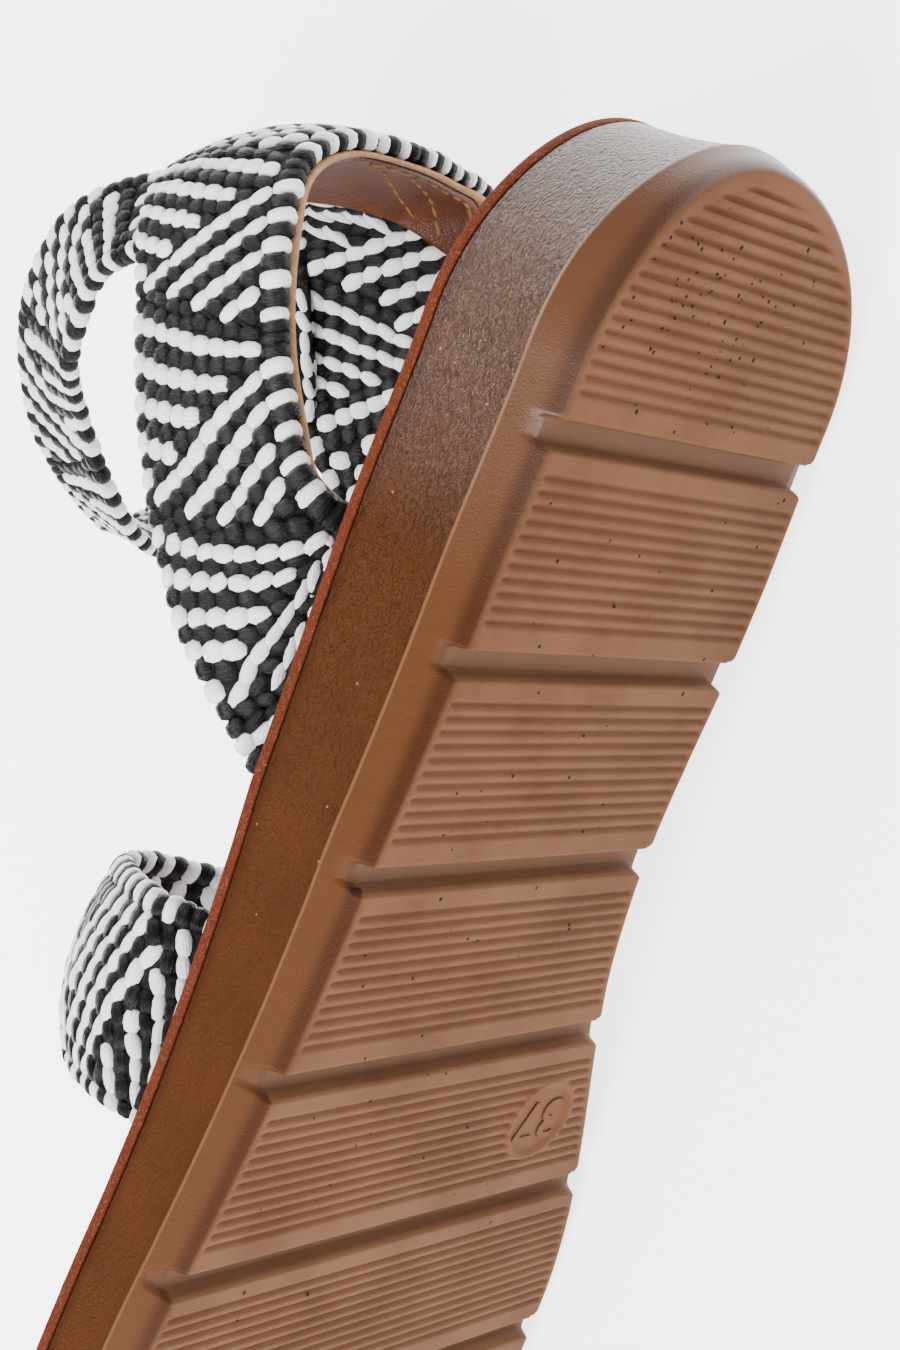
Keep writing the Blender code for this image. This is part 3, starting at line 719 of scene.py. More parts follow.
@dataclass
class Tread:
    """Relief of the tread: cross grooves, fine ribs and the round size stamp."""

    last: Last
    pitch: float = 0.027
    start: float = 0.0338
    width: float = 0.0031
    depth: float = 0.0026
    count: int = 8
    rib_pitch: float = 0.0017
    rib_depth: float = 0.00050
    rib_width: float = 0.00030
    rib_margin: float = 0.0049
    rib_count: int = 11
    stamp: tuple[float, float] = (0.0226, 0.1284)
    stamp_radius: float = 0.0060
    stamp_depth: float = 0.0005

    def groove(self, along: Array, base: Array, outer: Array, inner: Array) -> tuple[Array, Array]:
        """Cut the grooves into a surface.

        Args:
            along: Distance of each point from the heel's end.
            base: Its height before the cut.
            outer: Its distance outside the tread's outer edge, negative inside.
            inner: Its distance outside the tread's inner edge.

        Returns:
            New heights, and how much of a groove each point is, 0 to 1.
        """
        number = np.clip(np.round((along - self.start) / self.pitch), 0, self.count - 1)
        away = np.abs(along - self.start - number * self.pitch)
        run = np.clip((outer + 1.6 * MM) / (2.7 * MM), 0, 1)
        half = self.width / 2 * np.sqrt(1 - run * run) + 1.1 * MM * smooth(inner, -2.4 * MM, 0.8 * MM)
        share = 1 - smooth(away - half, -0.42 * MM, 0.36 * MM)
        share = share * (1 - smooth(outer, 0.5 * MM, 1.15 * MM))
        lift = self.last.spring(along / self.last.tread_length)
        floor = lift + self.depth + 1.4 * MM * smooth(outer, -1.6 * MM, 1.1 * MM)
        cut = np.maximum(0, floor - base) * share
        return base + cut, np.clip(cut / self.depth, 0, 1)

    def ribs(self, along: Array) -> Array:
        """How much of a rib line each point is, 0 to 1, before the ribs fade out."""
        block = np.maximum(np.floor((along - self.start) / self.pitch), -1)
        place = along - self.start - block * self.pitch
        number = np.clip(np.round((place - self.rib_margin) / self.rib_pitch), 0, self.rib_count - 1)
        behind = self.pitch - self.rib_margin
        count = np.round((behind - place) / self.rib_pitch)
        number_heel = np.maximum(0, count)
        line = np.where(block < 0, behind - number_heel * self.rib_pitch,
                        self.rib_margin + number * self.rib_pitch)
        away = place - line
        steep = np.where(away < 0, self.rib_width * 1.5, self.rib_width * 0.8)
        return np.exp(-(away / steep) ** 2)

    def shape(self, across: Array, along: Array, base: Array, outer: Array,
              inner: Array) -> tuple[Array, Array, Array]:
        """Full relief of the tread.

        Args:
            across: Distance of each point towards the inner side.
            along: Its distance from the heel's end.
            base: Its height before the relief.
            outer: Its distance outside the tread's outer edge, negative inside.
            inner: Its distance outside the tread's inner edge.

        Returns:
            Heights, groove shares and rib shares.
        """
        end = 1.4 * MM * (1 - smooth(along, 4 * MM, 14 * MM))
        inset = np.minimum(-outer - 2.4 * MM, -inner - 1.2 * MM - end)
        radius = np.hypot(across - self.stamp[0], along - self.stamp[1])
        plain = smooth(inset, -0.2 * MM, 1.0 * MM) * smooth(radius, self.stamp_radius, 6.9 * MM)
        rib = self.ribs(along) * plain
        recess = self.stamp_depth * (1 - smooth(radius, 5.0 * MM, 5.7 * MM))
        rim = 0.22 * MM * np.exp(-((radius - 6.1 * MM) / (0.38 * MM)) ** 2)
        height, groove = self.groove(along, base + recess - rim + rib * self.rib_depth, outer, inner)
        return height, groove, rib * (1 - groove)


@dataclass
class MouldedSole:
    """Unit sole in one piece: tread, smooth lower strip, mould line and grained wall."""

    last: Last
    place: ShoeFrame
    tread: Tread
    tread_finish: TreadFinish = TreadFinish()
    wall_finish: WallFinish = WallFinish()
    heel_rows: int = 150
    waist_rows: int = 500
    toe_rows: int = 270
    outer_strip: tuple[tuple[float, float], ...] = (
        (-2.6, 0.0), (-2.15, 0.02), (-1.75, 0.09), (-1.4, 0.21), (-1.1, 0.35), (-0.7, 0.49),
        (-0.15, 0.62), (0.4, 0.75), (0.85, 0.87), (1.2, 0.95), (1.4, 1.0))
    inner_strip: tuple[tuple[float, float], ...] = (
        (-1.3, 0.0), (-0.95, 0.01), (-0.6, 0.04), (-0.3, 0.09), (-0.05, 0.17), (0.12, 0.27),
        (0.35, 0.42), (0.65, 0.62), (0.95, 0.80), (1.22, 0.94), (1.4, 1.0))
    end_blend: float = 0.075
    near_outer: tuple[float, ...] = (0.35, 0.7, 1.1, 1.5, 2.0, 2.7, 3.6)
    near_inner: tuple[float, ...] = (0.4, 0.9, 1.5, 2.3, 3.4)
    middle_columns: int = 40
    wall_columns: int = 6
    top_columns: int = 3

    def strip(self, shares: Array, side: Side) -> tuple[Array, Array, Array]:
        """Side of the sole from the tread's edge to the top.

        Args:
            shares: Shares of the length, heel to toe.
            side: Side of the foot.

        Returns:
            Plan and height of each point, rows by columns by 3, its distance outside the tread's
            edge, and a mark that is 1 on the wall over the mould line and below 0.5 on the strip, where it
            sets the painted shade of the step and the painted highlight of the mould line.
        """
        profiles = [np.array(self.outer_strip), np.array(self.inner_strip)]
        own = profiles[0] if side is Side.OUTER else profiles[1]
        edge, out = self.last.edges(shares)[side]
        weight = smooth(np.minimum(shares, 1 - shares), 0.0, self.end_blend)[:, None, None]
        common = profiles[1] * 0.85 + profiles[0] * 0.15
        profile = common + (own - common) * weight
        flat = 0.62 + 0.38 * weight
        profile[..., 0] *= np.where(profile[..., 0] > 0, flat[..., 0], 1.0)
        spring = self.last.spring(shares)[:, None]
        ridge = spring + (self.last.ridge_height(shares)[:, None] - spring) * (0.78 + 0.22 * weight[..., 0])
        top = self.last.sole_top(shares)[:, None]
        away = profile[..., 0] * MM
        rise = profile[..., 1]
        lower = spring + (ridge - spring) * rise
        walls = np.arange(self.wall_columns + 1) / self.wall_columns
        foot, head = 0.00115 * flat[..., 0], self.last.wall_out(shares)[:, None]
        wall_out = foot + (head - foot) * walls - self.last.wall_hollow * 3 * walls * (1 - walls)
        wall_rise = ridge + 0.0005 + (top - ridge - 0.0005) * walls
        outs = np.concatenate([away, wall_out], axis=1)
        height = np.concatenate([lower, wall_rise], axis=1)
        plan = edge[:, None, :] + out[:, None, :] * outs[..., None]
        wall = np.ones(outs.shape)
        # Marks on the strip below 0.5: the finish paints shade on the step beside the tread from them, and
        # 0.49 on the mould line sets its painted highlight.
        wall[:, :away.shape[1]] = (smooth(rise, 0.0, 0.10) * 0.12 + smooth(rise, 0.15, 0.62) * 0.28)
        wall[:, away.shape[1] - 1] = 0.49
        return np.concatenate([plan, height[..., None]], axis=2), outs, wall

    def columns(self, shares: Array, low: Array, high: Array) -> Array:
        """Positions of the tread's inner columns between its two edges, closer round the stamp."""
        width = high - low
        tight = np.minimum(1.0, width / (18 * MM))
        first = low + np.array(self.near_outer) * MM * tight
        final = high - np.array(self.near_inner[::-1]) * MM * tight
        start, end = first[:, -1:], final[:, :1]
        evenly = start + (end - start) * np.arange(1, self.middle_columns + 1) / (self.middle_columns + 1)
        reach = 7.2 * MM
        left = self.middle_columns // 4
        right = 4
        dense = self.middle_columns - left - right
        centre = self.tread.stamp[0]
        lower = start + (centre - reach - start) * np.arange(1, left + 1) / (left + 1)
        top = np.minimum(centre + reach, end - 1.5 * MM)
        about = centre - reach + (top - centre + reach) * np.arange(dense) / (dense - 1)
        upper = top + (end - top) * np.arange(1, right + 1) / (right + 1)
        packed = np.concatenate([lower, about, upper], axis=1)
        near = np.abs(shares * self.last.tread_length - self.tread.stamp[1])[:, None]
        weight = 1 - smooth(near, 8 * MM, 20 * MM)
        return np.concatenate([first, evenly + (packed - evenly) * weight, final], axis=1)

    def reach(self, points: Array, side: Side) -> Array:
        """Distance of each point in plan from one edge of the tread."""
        shares = self.last.rows(80, 240, 120)
        edge = self.last.edges(shares)[side][0]
        tree = KDTree(len(edge))
        for index, (across, along) in enumerate(edge):
            tree.insert((across, along, 0.0), index)
        tree.balance()
        flat = points.reshape(-1, 3)
        found = [tree.find((across, along, 0.0))[2] for across, along, _ in flat.tolist()]
        return np.array(found).reshape(points.shape[:2])

    def build(self) -> bpy.types.Object:
        """Make the sole's closed mesh and dress it."""
        shares = self.last.rows(self.heel_rows, self.waist_rows, self.toe_rows)
        outer, outer_out, outer_wall = self.strip(shares, Side.OUTER)
        inner, inner_out, inner_wall = self.strip(shares, Side.INNER)
        left, right = outer[:, :1], inner[:, :1]
        across = self.columns(shares, left[:, :, 0], right[:, :, 0])
        span = np.maximum(right[:, :, 0] - left[:, :, 0], 1e-9)
        step = np.clip((across - left[:, :, 0]) / span, 0, 1)[..., None]
        middle = left + (right - left) * step
        middle_outer = -self.reach(middle, Side.OUTER)
        middle_inner = -self.reach(middle, Side.INNER)
        points = np.concatenate([outer[:, ::-1], middle, inner], axis=1)
        far = np.full(outer_out.shape, -30 * MM)
        far_inner = np.full(inner_out.shape, -30 * MM)
        outs = np.concatenate([outer_out[:, ::-1], middle_outer, far_inner], axis=1)
        ins = np.concatenate([far, middle_inner, inner_out], axis=1)
        wall = np.concatenate([outer_wall[:, ::-1], 0 * middle_outer, inner_wall], axis=1)
        height, groove, rib = self.tread.shape(points[..., 0], points[..., 1], points[..., 2], outs, ins)
        below = wall < 0.5
        points[..., 2] = np.where(below, height, points[..., 2])
        steps = np.arange(1, self.top_columns + 1)[None, :, None] / (self.top_columns + 1)
        top = points[:, -1:] + (points[:, :1] - points[:, -1:]) * steps
        points = np.concatenate([points, top], axis=1)
        count = len(shares)
        extra = np.zeros((count, self.top_columns))
        attributes = {
            "place": points / MM,
            "hollow": np.concatenate([groove * below * 0.75, extra], axis=1),
            # Strength of the painted shade in the fine rib lines.
            "rib_line_shade": np.concatenate([rib * below * 0.55, extra], axis=1),
            "wall": np.concatenate([wall, extra + 1.0], axis=1),
            "heel_share": 1.5 - 1.15 * smooth(points[..., 1], 20 * MM, 110 * MM),
        }
        mesh = mesh_from_grid("moulded_sole", self.place.place(points), True, attributes)
        is_wall = np.zeros(len(mesh.vertices), dtype=np.float32)
        mesh.attributes["wall"].data.foreach_get("value", is_wall)
        corners = np.zeros(len(mesh.loops), dtype=np.int32)
        mesh.loops.foreach_get("vertex_index", corners)
        starts = np.zeros(len(mesh.polygons), dtype=np.int32)
        mesh.polygons.foreach_get("loop_start", starts)
        lowest = np.minimum.reduceat(is_wall[corners], starts)
        mesh.polygons.foreach_set("material_index", (lowest > 0.5).astype(np.int32))
        finishes = [self.tread_finish.material(), self.wall_finish.material()]
        return new_piece("moulded_sole", mesh, finishes, ["sole"])


@dataclass
class SizeStamp:
    """Plain raised size number in the tread's round recess."""

    place: ShoeFrame
    tread: Tread
    finish: bpy.types.Material
    number: str = "37"
    height: float = 0.0068
    relief: float = 0.00022

    def build(self) -> bpy.types.Object:
        """Turn the number into a mesh and lay it in the recess, its top towards the toe."""
        curve = bpy.data.curves.new("size_number", "FONT")
        curve.body = self.number
        curve.size = self.height * 1.35
        curve.align_x = "CENTER"
        curve.align_y = "CENTER"
        curve.extrude = self.relief
        curve.bevel_depth = 0.00008
        curve.resolution_u = 4
        text = bpy.data.objects.new("size_number", curve)
        bpy.context.scene.collection.objects.link(text)
        graph = bpy.context.evaluated_depsgraph_get()
        mesh = bpy.data.meshes.new_from_object(text.evaluated_get(graph), depsgraph=graph)
        bpy.data.objects.remove(text, do_unlink=True)
        flat = np.zeros(len(mesh.vertices) * 3, dtype=np.float32)
        mesh.vertices.foreach_get("co", flat)
        flat = flat.reshape(-1, 3)
        across, along = self.tread.stamp
        upright = np.stack([across - flat[:, 0], along + flat[:, 1],
                            self.tread.stamp_depth - flat[:, 2]], axis=1)
        mesh.vertices.foreach_set("co", self.place.place(upright).astype(np.float32).ravel())
        mesh.update()
        return new_piece("size_number", mesh, [self.finish])


@dataclass
class Pinholes:
    """Small air holes of the moulding in the tread, drawn as flat near-black discs on the surface: painted
    shadow inside the holes.
    """

    last: Last
    place: ShoeFrame
    tread: Tread
    seed: int = 5
    count: int = 95
    bubble: tuple[float, float, float] = (-0.0287, 0.0894, 0.0010)
    bubble_size: tuple[float, float, float] = (0.00062, 0.00078, 0.00030)

    def build(self) -> bpy.types.Object:
        """Scatter the holes over the heel block and at the outer ends of the ribs."""
        chance = np.random.default_rng(self.seed)
        heel = np.stack([chance.normal(-2, 9, self.count), chance.normal(17, 6.5, self.count)], axis=1)
        lines = []
        for block in range(-1, 7):
            begin = self.tread.start + block * self.tread.pitch + self.tread.rib_margin
            for number in range(self.tread.rib_count):
                along = begin + number * self.tread.rib_pitch
                if along < 6 * MM or chance.random() < 0.35:
                    continue
                half = float(self.last.half_width(along / self.last.tread_length, Side.OUTER))
                lines.append([(-half / MM) + 3.9 + chance.random() * 0.4, along / MM])
        scatter = np.stack([chance.uniform(-28, 26, 90), chance.uniform(36, 150, 90)], axis=1)
        spots = np.concatenate([heel, np.array(lines), scatter]) * MM
        shares = np.clip(spots[:, 1] / self.last.tread_length, 0.02, 0.98)
        outer = -self.last.half_width(shares, Side.OUTER) - spots[:, 0]
        inner = spots[:, 0] - self.last.half_width(shares, Side.INNER)
        kept = (outer < -3.2 * MM) & (inner < -3 * MM) & (spots[:, 1] > 4 * MM)
        spots, outer, inner = spots[kept], outer[kept], inner[kept]
        height, groove, _ = self.tread.shape(spots[:, 0], spots[:, 1], 0 * outer, outer, inner)
        plain = groove < 0.02
        points = np.stack([spots[:, 0], spots[:, 1], height], axis=1)[plain]
        count = len(points)
        size = chance.uniform(0.13, 0.29, count)[:, None] * np.array([[1.0, 1.15, 0.22]]) * MM
        knots = Knots()
        knots.add(points, np.tile([[0.0, 0.0, -1.0]], (count, 1)), np.tile([[1.0, 0.0, 0.0]], (count, 1)),
                  size, np.zeros(count))
        knots.add(np.array([self.bubble]), np.array([[-0.45, 0.0, -0.89]]), np.array([[0.0, 1.0, 0.0]]),
                  np.array([self.bubble_size]), np.zeros(1))
        finish = PlainFinish("pinhole_shadow", (0.012, 0.003, 0.001), 0.9).material()
        tree = KnotTree("tread_pinholes", segments=8, rings=4, fullness=0.0, seed=self.seed)
        mesh = tree.grow(knots.carrier("pinhole_points", self.place), finish)
        return new_piece("tread_pinholes", mesh, [finish])


@dataclass
class InsoleBoard:
    """Leather board over the sole, with a raw edge."""

    last: Last
    place: ShoeFrame
    finish: BoardFinish = BoardFinish()
    edge: tuple[tuple[float, float], ...] = ((-0.25, 0.0), (0.02, 0.10), (0.10, 0.35), (0.12, 0.65),
                                             (0.05, 0.88), (-0.30, 1.0))

    def build(self) -> bpy.types.Object:
        """Make the board's closed mesh and dress it."""
        shares = self.last.rows(60, 200, 110)
        edges = self.last.edges(shares)
        out = self.last.wall_out(shares)[:, None]
        base = self.last.top_height(shares)[:, None] - self.last.insole_thickness
        away = np.array([point[0] for point in self.edge]) * MM
        rise = np.array([point[1] for point in self.edge]) * self.last.insole_thickness
        sides = []
        for side in (Side.OUTER, Side.INNER):
            edge, normal = edges[side]
            plan = edge[:, None, :] + normal[:, None, :] * (out + away)[..., None]
            sides.append(np.concatenate([plan, (base + rise)[..., None]], axis=2))
        outer, inner = sides
        steps = np.arange(1, 9)[None, :, None] / 9
        top = outer[:, -1:] + (inner[:, -1:] - outer[:, -1:]) * steps
        bottom = inner[:, :1] + (outer[:, :1] - inner[:, :1]) * steps
        points = np.concatenate([outer, top, inner[:, ::-1], bottom], axis=1)
        count, columns = len(shares), len(self.edge)
        rim = np.ones((count, columns))
        rim[:, -1] = 0.0
        line = np.zeros((count, columns))
        line[:, 0] = 1.0
        flat = np.zeros((count, 8))
        attributes = {"place": points / MM,
                      "rim": np.concatenate([rim, flat, rim[:, ::-1], flat + 1], axis=1),
                      "under_line": np.concatenate([line, flat, line[:, ::-1], flat], axis=1)}
        mesh = mesh_from_grid("insole_board", self.place.place(points), True, attributes)
        return new_piece("insole_board", mesh, [self.finish.material()], ["insole"])


class Fold(NamedTuple):
    """One fold of a strap: shares of the width, of the length and of the rise at both edges."""

    rear_across: float
    rear_along: float
    rear_rise: float
    front_across: float
    front_along: float
    front_rise: float


class Root(NamedTuple):
    """Shares of the length where a strap's two edges pass into the insole."""

    rear: float
    front: float


@dataclass(frozen=True)
class Band:
    """Middle surface of a strap between its rear and its front edge."""

    rear: Array
    front: Array
    camber: float
    camber_run: float = 0.35

    def point(self, share: Array, across: Array) -> Array:
        """Points at shares along the strap and across it, from the rear edge to the front edge."""
        share, across = np.broadcast_arrays(np.asarray(share, float), np.asarray(across, float))
        last = len(self.rear) - 1
        position = share * last
        rear, front = through(self.rear, position), through(self.front, position)
        flat = rear + (front - rear) * across[..., None]
        run = smooth(np.minimum(share, 1 - share), 1.5 / last, self.camber_run)
        swell = np.maximum(0, 4 * across * (1 - across)) * run
        step = 0.05
        ahead = through(self.rear, position + step) + through(self.front, position + step)
        behind = through(self.rear, position - step) + through(self.front, position - step)
        return flat + unit(np.cross(ahead - behind, front - rear)) * self.camber * swell[..., None]

    def along(self, share: Array, across: Array, step: float = 0.004) -> Array:
        """Change of the surface for one whole share along the strap."""
        share = np.asarray(share, float)
        ahead, behind = np.minimum(1.0, share + step), np.maximum(0.0, share - step)
        return (self.point(ahead, across) - self.point(behind, across)) / (ahead - behind)[..., None]

    def sideways(self, share: Array, across: Array, step: float = 0.01) -> Array:
        """Change of the surface from the rear edge to the front edge."""
        across = np.asarray(across, float)
        return (self.point(share, across + step) - self.point(share, across - step)) / (2 * step)

    def normal(self, share: Array, across: Array) -> Array:
        """Outward direction of the surface."""
        share, across = np.broadcast_arrays(np.asarray(share, float), np.asarray(across, float))
        return unit(np.cross(self.along(share, across), self.sideways(share, across)))

    @property
    def width(self) -> float:
        """Width halfway along the strap."""
        return float(np.linalg.norm(self.point(0.5, 1.0) - self.point(0.5, 0.0)))


@dataclass(frozen=True)
class StrapPattern:
    """How a strap is folded: its rows of folds, its roots and the sizes they are shares of."""

    folds: tuple[Fold, ...]
    outer: Root
    inner: Root
    rise: float
    camber: float
    width: float
    inset: float = 0.0042
    neck_rise: float = 0.0025
    root_lift: float = 0.0009

    def band(self, last: Last) -> Band:
        """Edges of the strap from its outer root to its inner root."""
        rear: list[Array] = []
        front: list[Array] = []
        for side, root in ((Side.OUTER, self.outer), (Side.INNER, self.inner)):
            ends = []
            for along in root:
                plan = last.edge_point(along, side, self.inset)
                seat = float(last.sole_top(along)) + self.root_lift
                mouth = float(last.top_height(along)) + last.clearance * 2
                heights = (seat, mouth, mouth + self.neck_rise)
                ends.append([np.array([plan[0], plan[1], height]) for height in heights])
            if side is Side.OUTER:
                rear += ends[0]
                front += ends[1]
                for fold in self.folds:
                    rear.append(fold_point(last, fold[:3], self.width, self.rise))
                    front.append(fold_point(last, fold[3:], self.width, self.rise))
            else:
                rear += ends[0][::-1]
                front += ends[1][::-1]
        return Band(np.array(rear), np.array(front), self.camber)


def fold_point(last: Last, shares: Sequence[float], width: float, rise: float) -> Array:
    """Point of a fold, from its shares of the width, the length and the rise."""
    across, along, lift = shares
    return np.array([across * width, along * last.tread_length, last.top_height(along) + lift * rise])


@dataclass(frozen=True)
class WeaveChart:
    """Motif of the weave and where its rows lie along a strap.

    marks holds (row, share at the anchored edge, share at the other edge). A motif has bars of white
    knots that grow shorter from the anchored edge, and white stripes that run down from the other edge.
    """

    marks: tuple[tuple[float, float, float], ...]
    columns: int = 8
    rows: int = 11
    bars: tuple[tuple[float, float], ...] = ((0.0, 1.0), (2.0, 0.75), (4.0, 0.5), (6.0, 0.25))
    stripes: tuple[float, ...] = (1.85, 3.8, 5.75, 7.75)
    lean: float = 0.92
    stop: float = 9.1
    anchored_edge: tuple[float, ...] = (0.0, 2.0, 4.0, 6.0, 8.0)
    other_edge: tuple[float, ...] = (1.0, 2.9, 4.7, 6.6, 8.5)
    anchor_rear: bool = False
    shares: tuple[float, float] = (0.0, 1.0)

    def whites(self, column: int) -> list[tuple[float, bool]]:
        """White knots of one column in one motif: their rows, and whether each is in a stripe."""
        if column == 0:
            return [(row, False) for row in self.anchored_edge]
        if column == self.columns + 1:
            return [(row, False) for row in self.other_edge]
        found = [(row, False) for row, length in self.bars if column <= length * self.columns + 0.01]
        bar_end = max((row for row, _ in found), default=-1.0)
        for begin in self.stripes:
            row = begin + self.lean * (self.columns - column)
            if bar_end + 1.2 < row < self.stop:
                found.append((row, True))
        return sorted(found)

    def column(self, column: int) -> Array:
        """All knots of one column: rows of (row counted over all motifs, shade, stripe)."""
        low, high = self.marks[0][0], self.marks[-1][0]
        marks = []
        for motif in range(int(low // self.rows), int(high // self.rows) + 1):
            marks += [(motif * self.rows + row, stripe) for row, stripe in self.whites(column)]
        marks = [mark for mark in marks if low <= mark[0] < high]
        knots: list[tuple[float, float, float]] = []
        before = low
        for row, stripe in marks:
            knots += self.filling(before, row)
            knots.append((row, 1.0, float(stripe)))
            before = row
        knots += self.filling(before, high)
        return np.array(knots)

    def filling(self, low: float, high: float) -> list[tuple[float, float, float]]:
        """Black knots between two white ones."""
        count = max(0, round(high - low) - 1)
        return [(low + (high - low) * (index + 1) / (count + 1), 0.0, 0.0) for index in range(count)]

    def share(self, row: Array, across: Array) -> Array:
        """Share along the strap of a row, at a share across it from the rear to the front edge."""
        rows = [mark[0] for mark in self.marks]
        near = np.interp(row, rows, [mark[1] for mark in self.marks])
        far = np.interp(row, rows, [mark[2] for mark in self.marks])
        away = across if self.anchor_rear else 1 - across
        return near + (far - near) * away


@dataclass
class WovenStrap:
    """One strap: a thin dark core, knots on both faces and rolled edges."""

    name: str
    band: Band
    charts: tuple[WeaveChart, ...]
    place: ShoeFrame
    raffia: bpy.types.Material
    replaced: tuple[str, ...] = ()
    core_half: float = 0.00075
    lift: float = 0.00050
    knot_height: float = 0.00085
    selvage: tuple[float, float] = (0.0036, 0.0026)
    seed: int = 3
    steps: int = 120
    ends: tuple[float, float] = (0.0, 1.0)

    def core(self) -> bpy.types.Object:
        """Thin wall that carries the knots."""
        margin = 0.6 * MM / self.band.width
        across = np.linspace(margin, 1 - margin, 13)
        share = np.linspace(self.ends[0], self.ends[1], self.steps)[:, None]
        point, normal = self.band.point(share, across), self.band.normal(share, across)
        half = self.core_half * np.minimum(1, 0.4 + 8 * np.minimum(across, 1 - across))[None, :, None]
        outer, inner = point + normal * half, point - normal * half
        loop = np.concatenate([outer, inner[:, ::-1]], axis=1)
        zero = np.zeros(loop.shape[:2])
        attributes = {"strand": loop / MM, "shade": zero, "lot": zero}
        mesh = mesh_from_grid(f"{self.name}_core", self.place.place(loop), True, attributes, caps=True)
        return new_piece(f"{self.name}_core", mesh, [self.raffia], self.replaced)

    def knots(self) -> Knots:
        """Places and directions of all knots of the strap."""
        chance = np.random.default_rng(self.seed)
        knots = Knots()
        rear, front = (rim / self.band.width for rim in self.selvage)
        for chart in self.charts:
            pitch = (1 - rear - front) / chart.columns
            for column in range(chart.columns + 2):
                rows = chart.column(column)
                from_rear = column if chart.anchor_rear else chart.columns + 1 - column
                across, wide = rear + (from_rear - 0.5) * pitch, pitch
                if from_rear == 0:
                    across, wide = rear * 0.48, rear
                elif from_rear == chart.columns + 1:
                    across, wide = 1 - front * 0.48, front
                at_edge = column in (0, chart.columns + 1)
                self.lay_column(knots, chart, rows, across, wide, at_edge, chance)
        return knots

    def lay_column(self, knots: Knots, chart: WeaveChart, rows: Array, across: float, wide: float,
                   at_edge: bool, chance: np.random.Generator) -> None:
        """Lay one column of knots on the strap.

        Args:
            knots: Where they are added.
            chart: Chart of this stretch.
            rows: Knots of the column, as WeaveChart.column gives them.
            across: The column's place across the strap.
            wide: Its width, as a share of the strap's width.
            at_edge: Whether it is a rolled edge, which shows on both faces.
            chance: Source of the small differences.
        """
        row, shade, stripe = rows[:, 0], rows[:, 1], rows[:, 2]
        share = chart.share(row, across)
        count = len(row)
        ahead = chart.share(row + 0.5, across)
        behind = chart.share(row - 0.5, across)
        low, high = max(self.ends[0], chart.shares[0]), min(self.ends[1], chart.shares[1])
        kept = (share > low) & (share < high)
        side = self.band.sideways(share, np.full(count, across))
        run = self.band.along(share, np.full(count, across))
        tall = np.linalg.norm(run, axis=1) * np.abs(ahead - behind)
        tall = np.maximum(tall, 1.6 * MM)
        slope = chart.share(row, across + 0.05) - chart.share(row, across - 0.05)
        line = unit(side * 0.1 + run * slope[:, None])
        broad = np.linalg.norm(side, axis=1) * wide
        normal = unit(np.cross(run, side))
        if chart.marks[0][1] > chart.marks[-1][1]:
            run = -run
        down = unit(run)
        lean = np.where(stripe > 0.5, 0.85, 0.28 * np.where(np.arange(count) % 2, 1, -0.4))
        lean = lean + chance.normal(0, 0.12, count)
        slant = -1.0 if chart.anchor_rear else 1.0
        along = unit(line + down * lean[:, None] * slant)
        length = broad * np.where(stripe > 0.5, 0.75, 0.64)
        width = tall * np.where(stripe > 0.5, 0.50, 0.56) * (1 - 0.06 * (1 - shade))
        if at_edge:
            along = unit(line + down * 0.3)
            length = broad * 0.54
            width = tall * 0.60
        jitter = chance.normal(0, 0.07 * MM, (count, 3))
        centre = self.band.point(share, np.full(count, across)) + jitter
        if at_edge:
            size = np.stack([length, width, np.full(count, 1.38 * MM)], axis=1)
            knots.add(centre[kept], normal[kept], along[kept], size[kept], shade[kept])
            return
        high = np.full(count, self.knot_height) + 0.05 * MM * shade
        size = np.stack([length, width, high], axis=1)
        for face in Face:
            shift = normal * face.value * self.lift
            knots.add((centre + shift)[kept], (normal * face.value)[kept], along[kept], size[kept],
                      shade[kept])

    def build(self) -> list[bpy.types.Object]:
        """Make the core and the knots."""
        core = self.core()
        carrier = self.knots().carrier(f"{self.name}_points", self.place)
        tree = KnotTree(f"{self.name}_knots", seed=self.seed)
        mesh = tree.grow(carrier, self.raffia)
        woven = new_piece(f"{self.name}_weave", mesh, [self.raffia])
        return [core, woven]


@dataclass
class EdgeTape:
    """Narrow raw tape inside the rear edge of the heel ring."""

    band: Band
    place: ShoeFrame
    shares: tuple[float, float] = (0.03, 0.93)
    across: tuple[float, float] = (0.004, 0.075)
    inside: float = 0.00165
    half: float = 0.00035

    def build(self) -> bpy.types.Object:
        """Make the tape and dress it."""
        share = np.linspace(*self.shares, 150)[:, None]
        across = np.linspace(*self.across, 5)[None, :]
        point, normal = self.band.point(share, across), self.band.normal(share, across)
        upper = point - normal * (self.inside - self.half)
        lower = point - normal * (self.inside + self.half)
        loop = np.concatenate([upper, lower[:, ::-1]], axis=1)
        mesh = mesh_from_grid("edge_tape", self.place.place(loop), True, {"place": loop / MM}, caps=True)
        finish = PlainFinish("edge_tape", (0.33, 0.185, 0.100), 0.7).material()
        return new_piece("edge_tape", mesh, [finish])


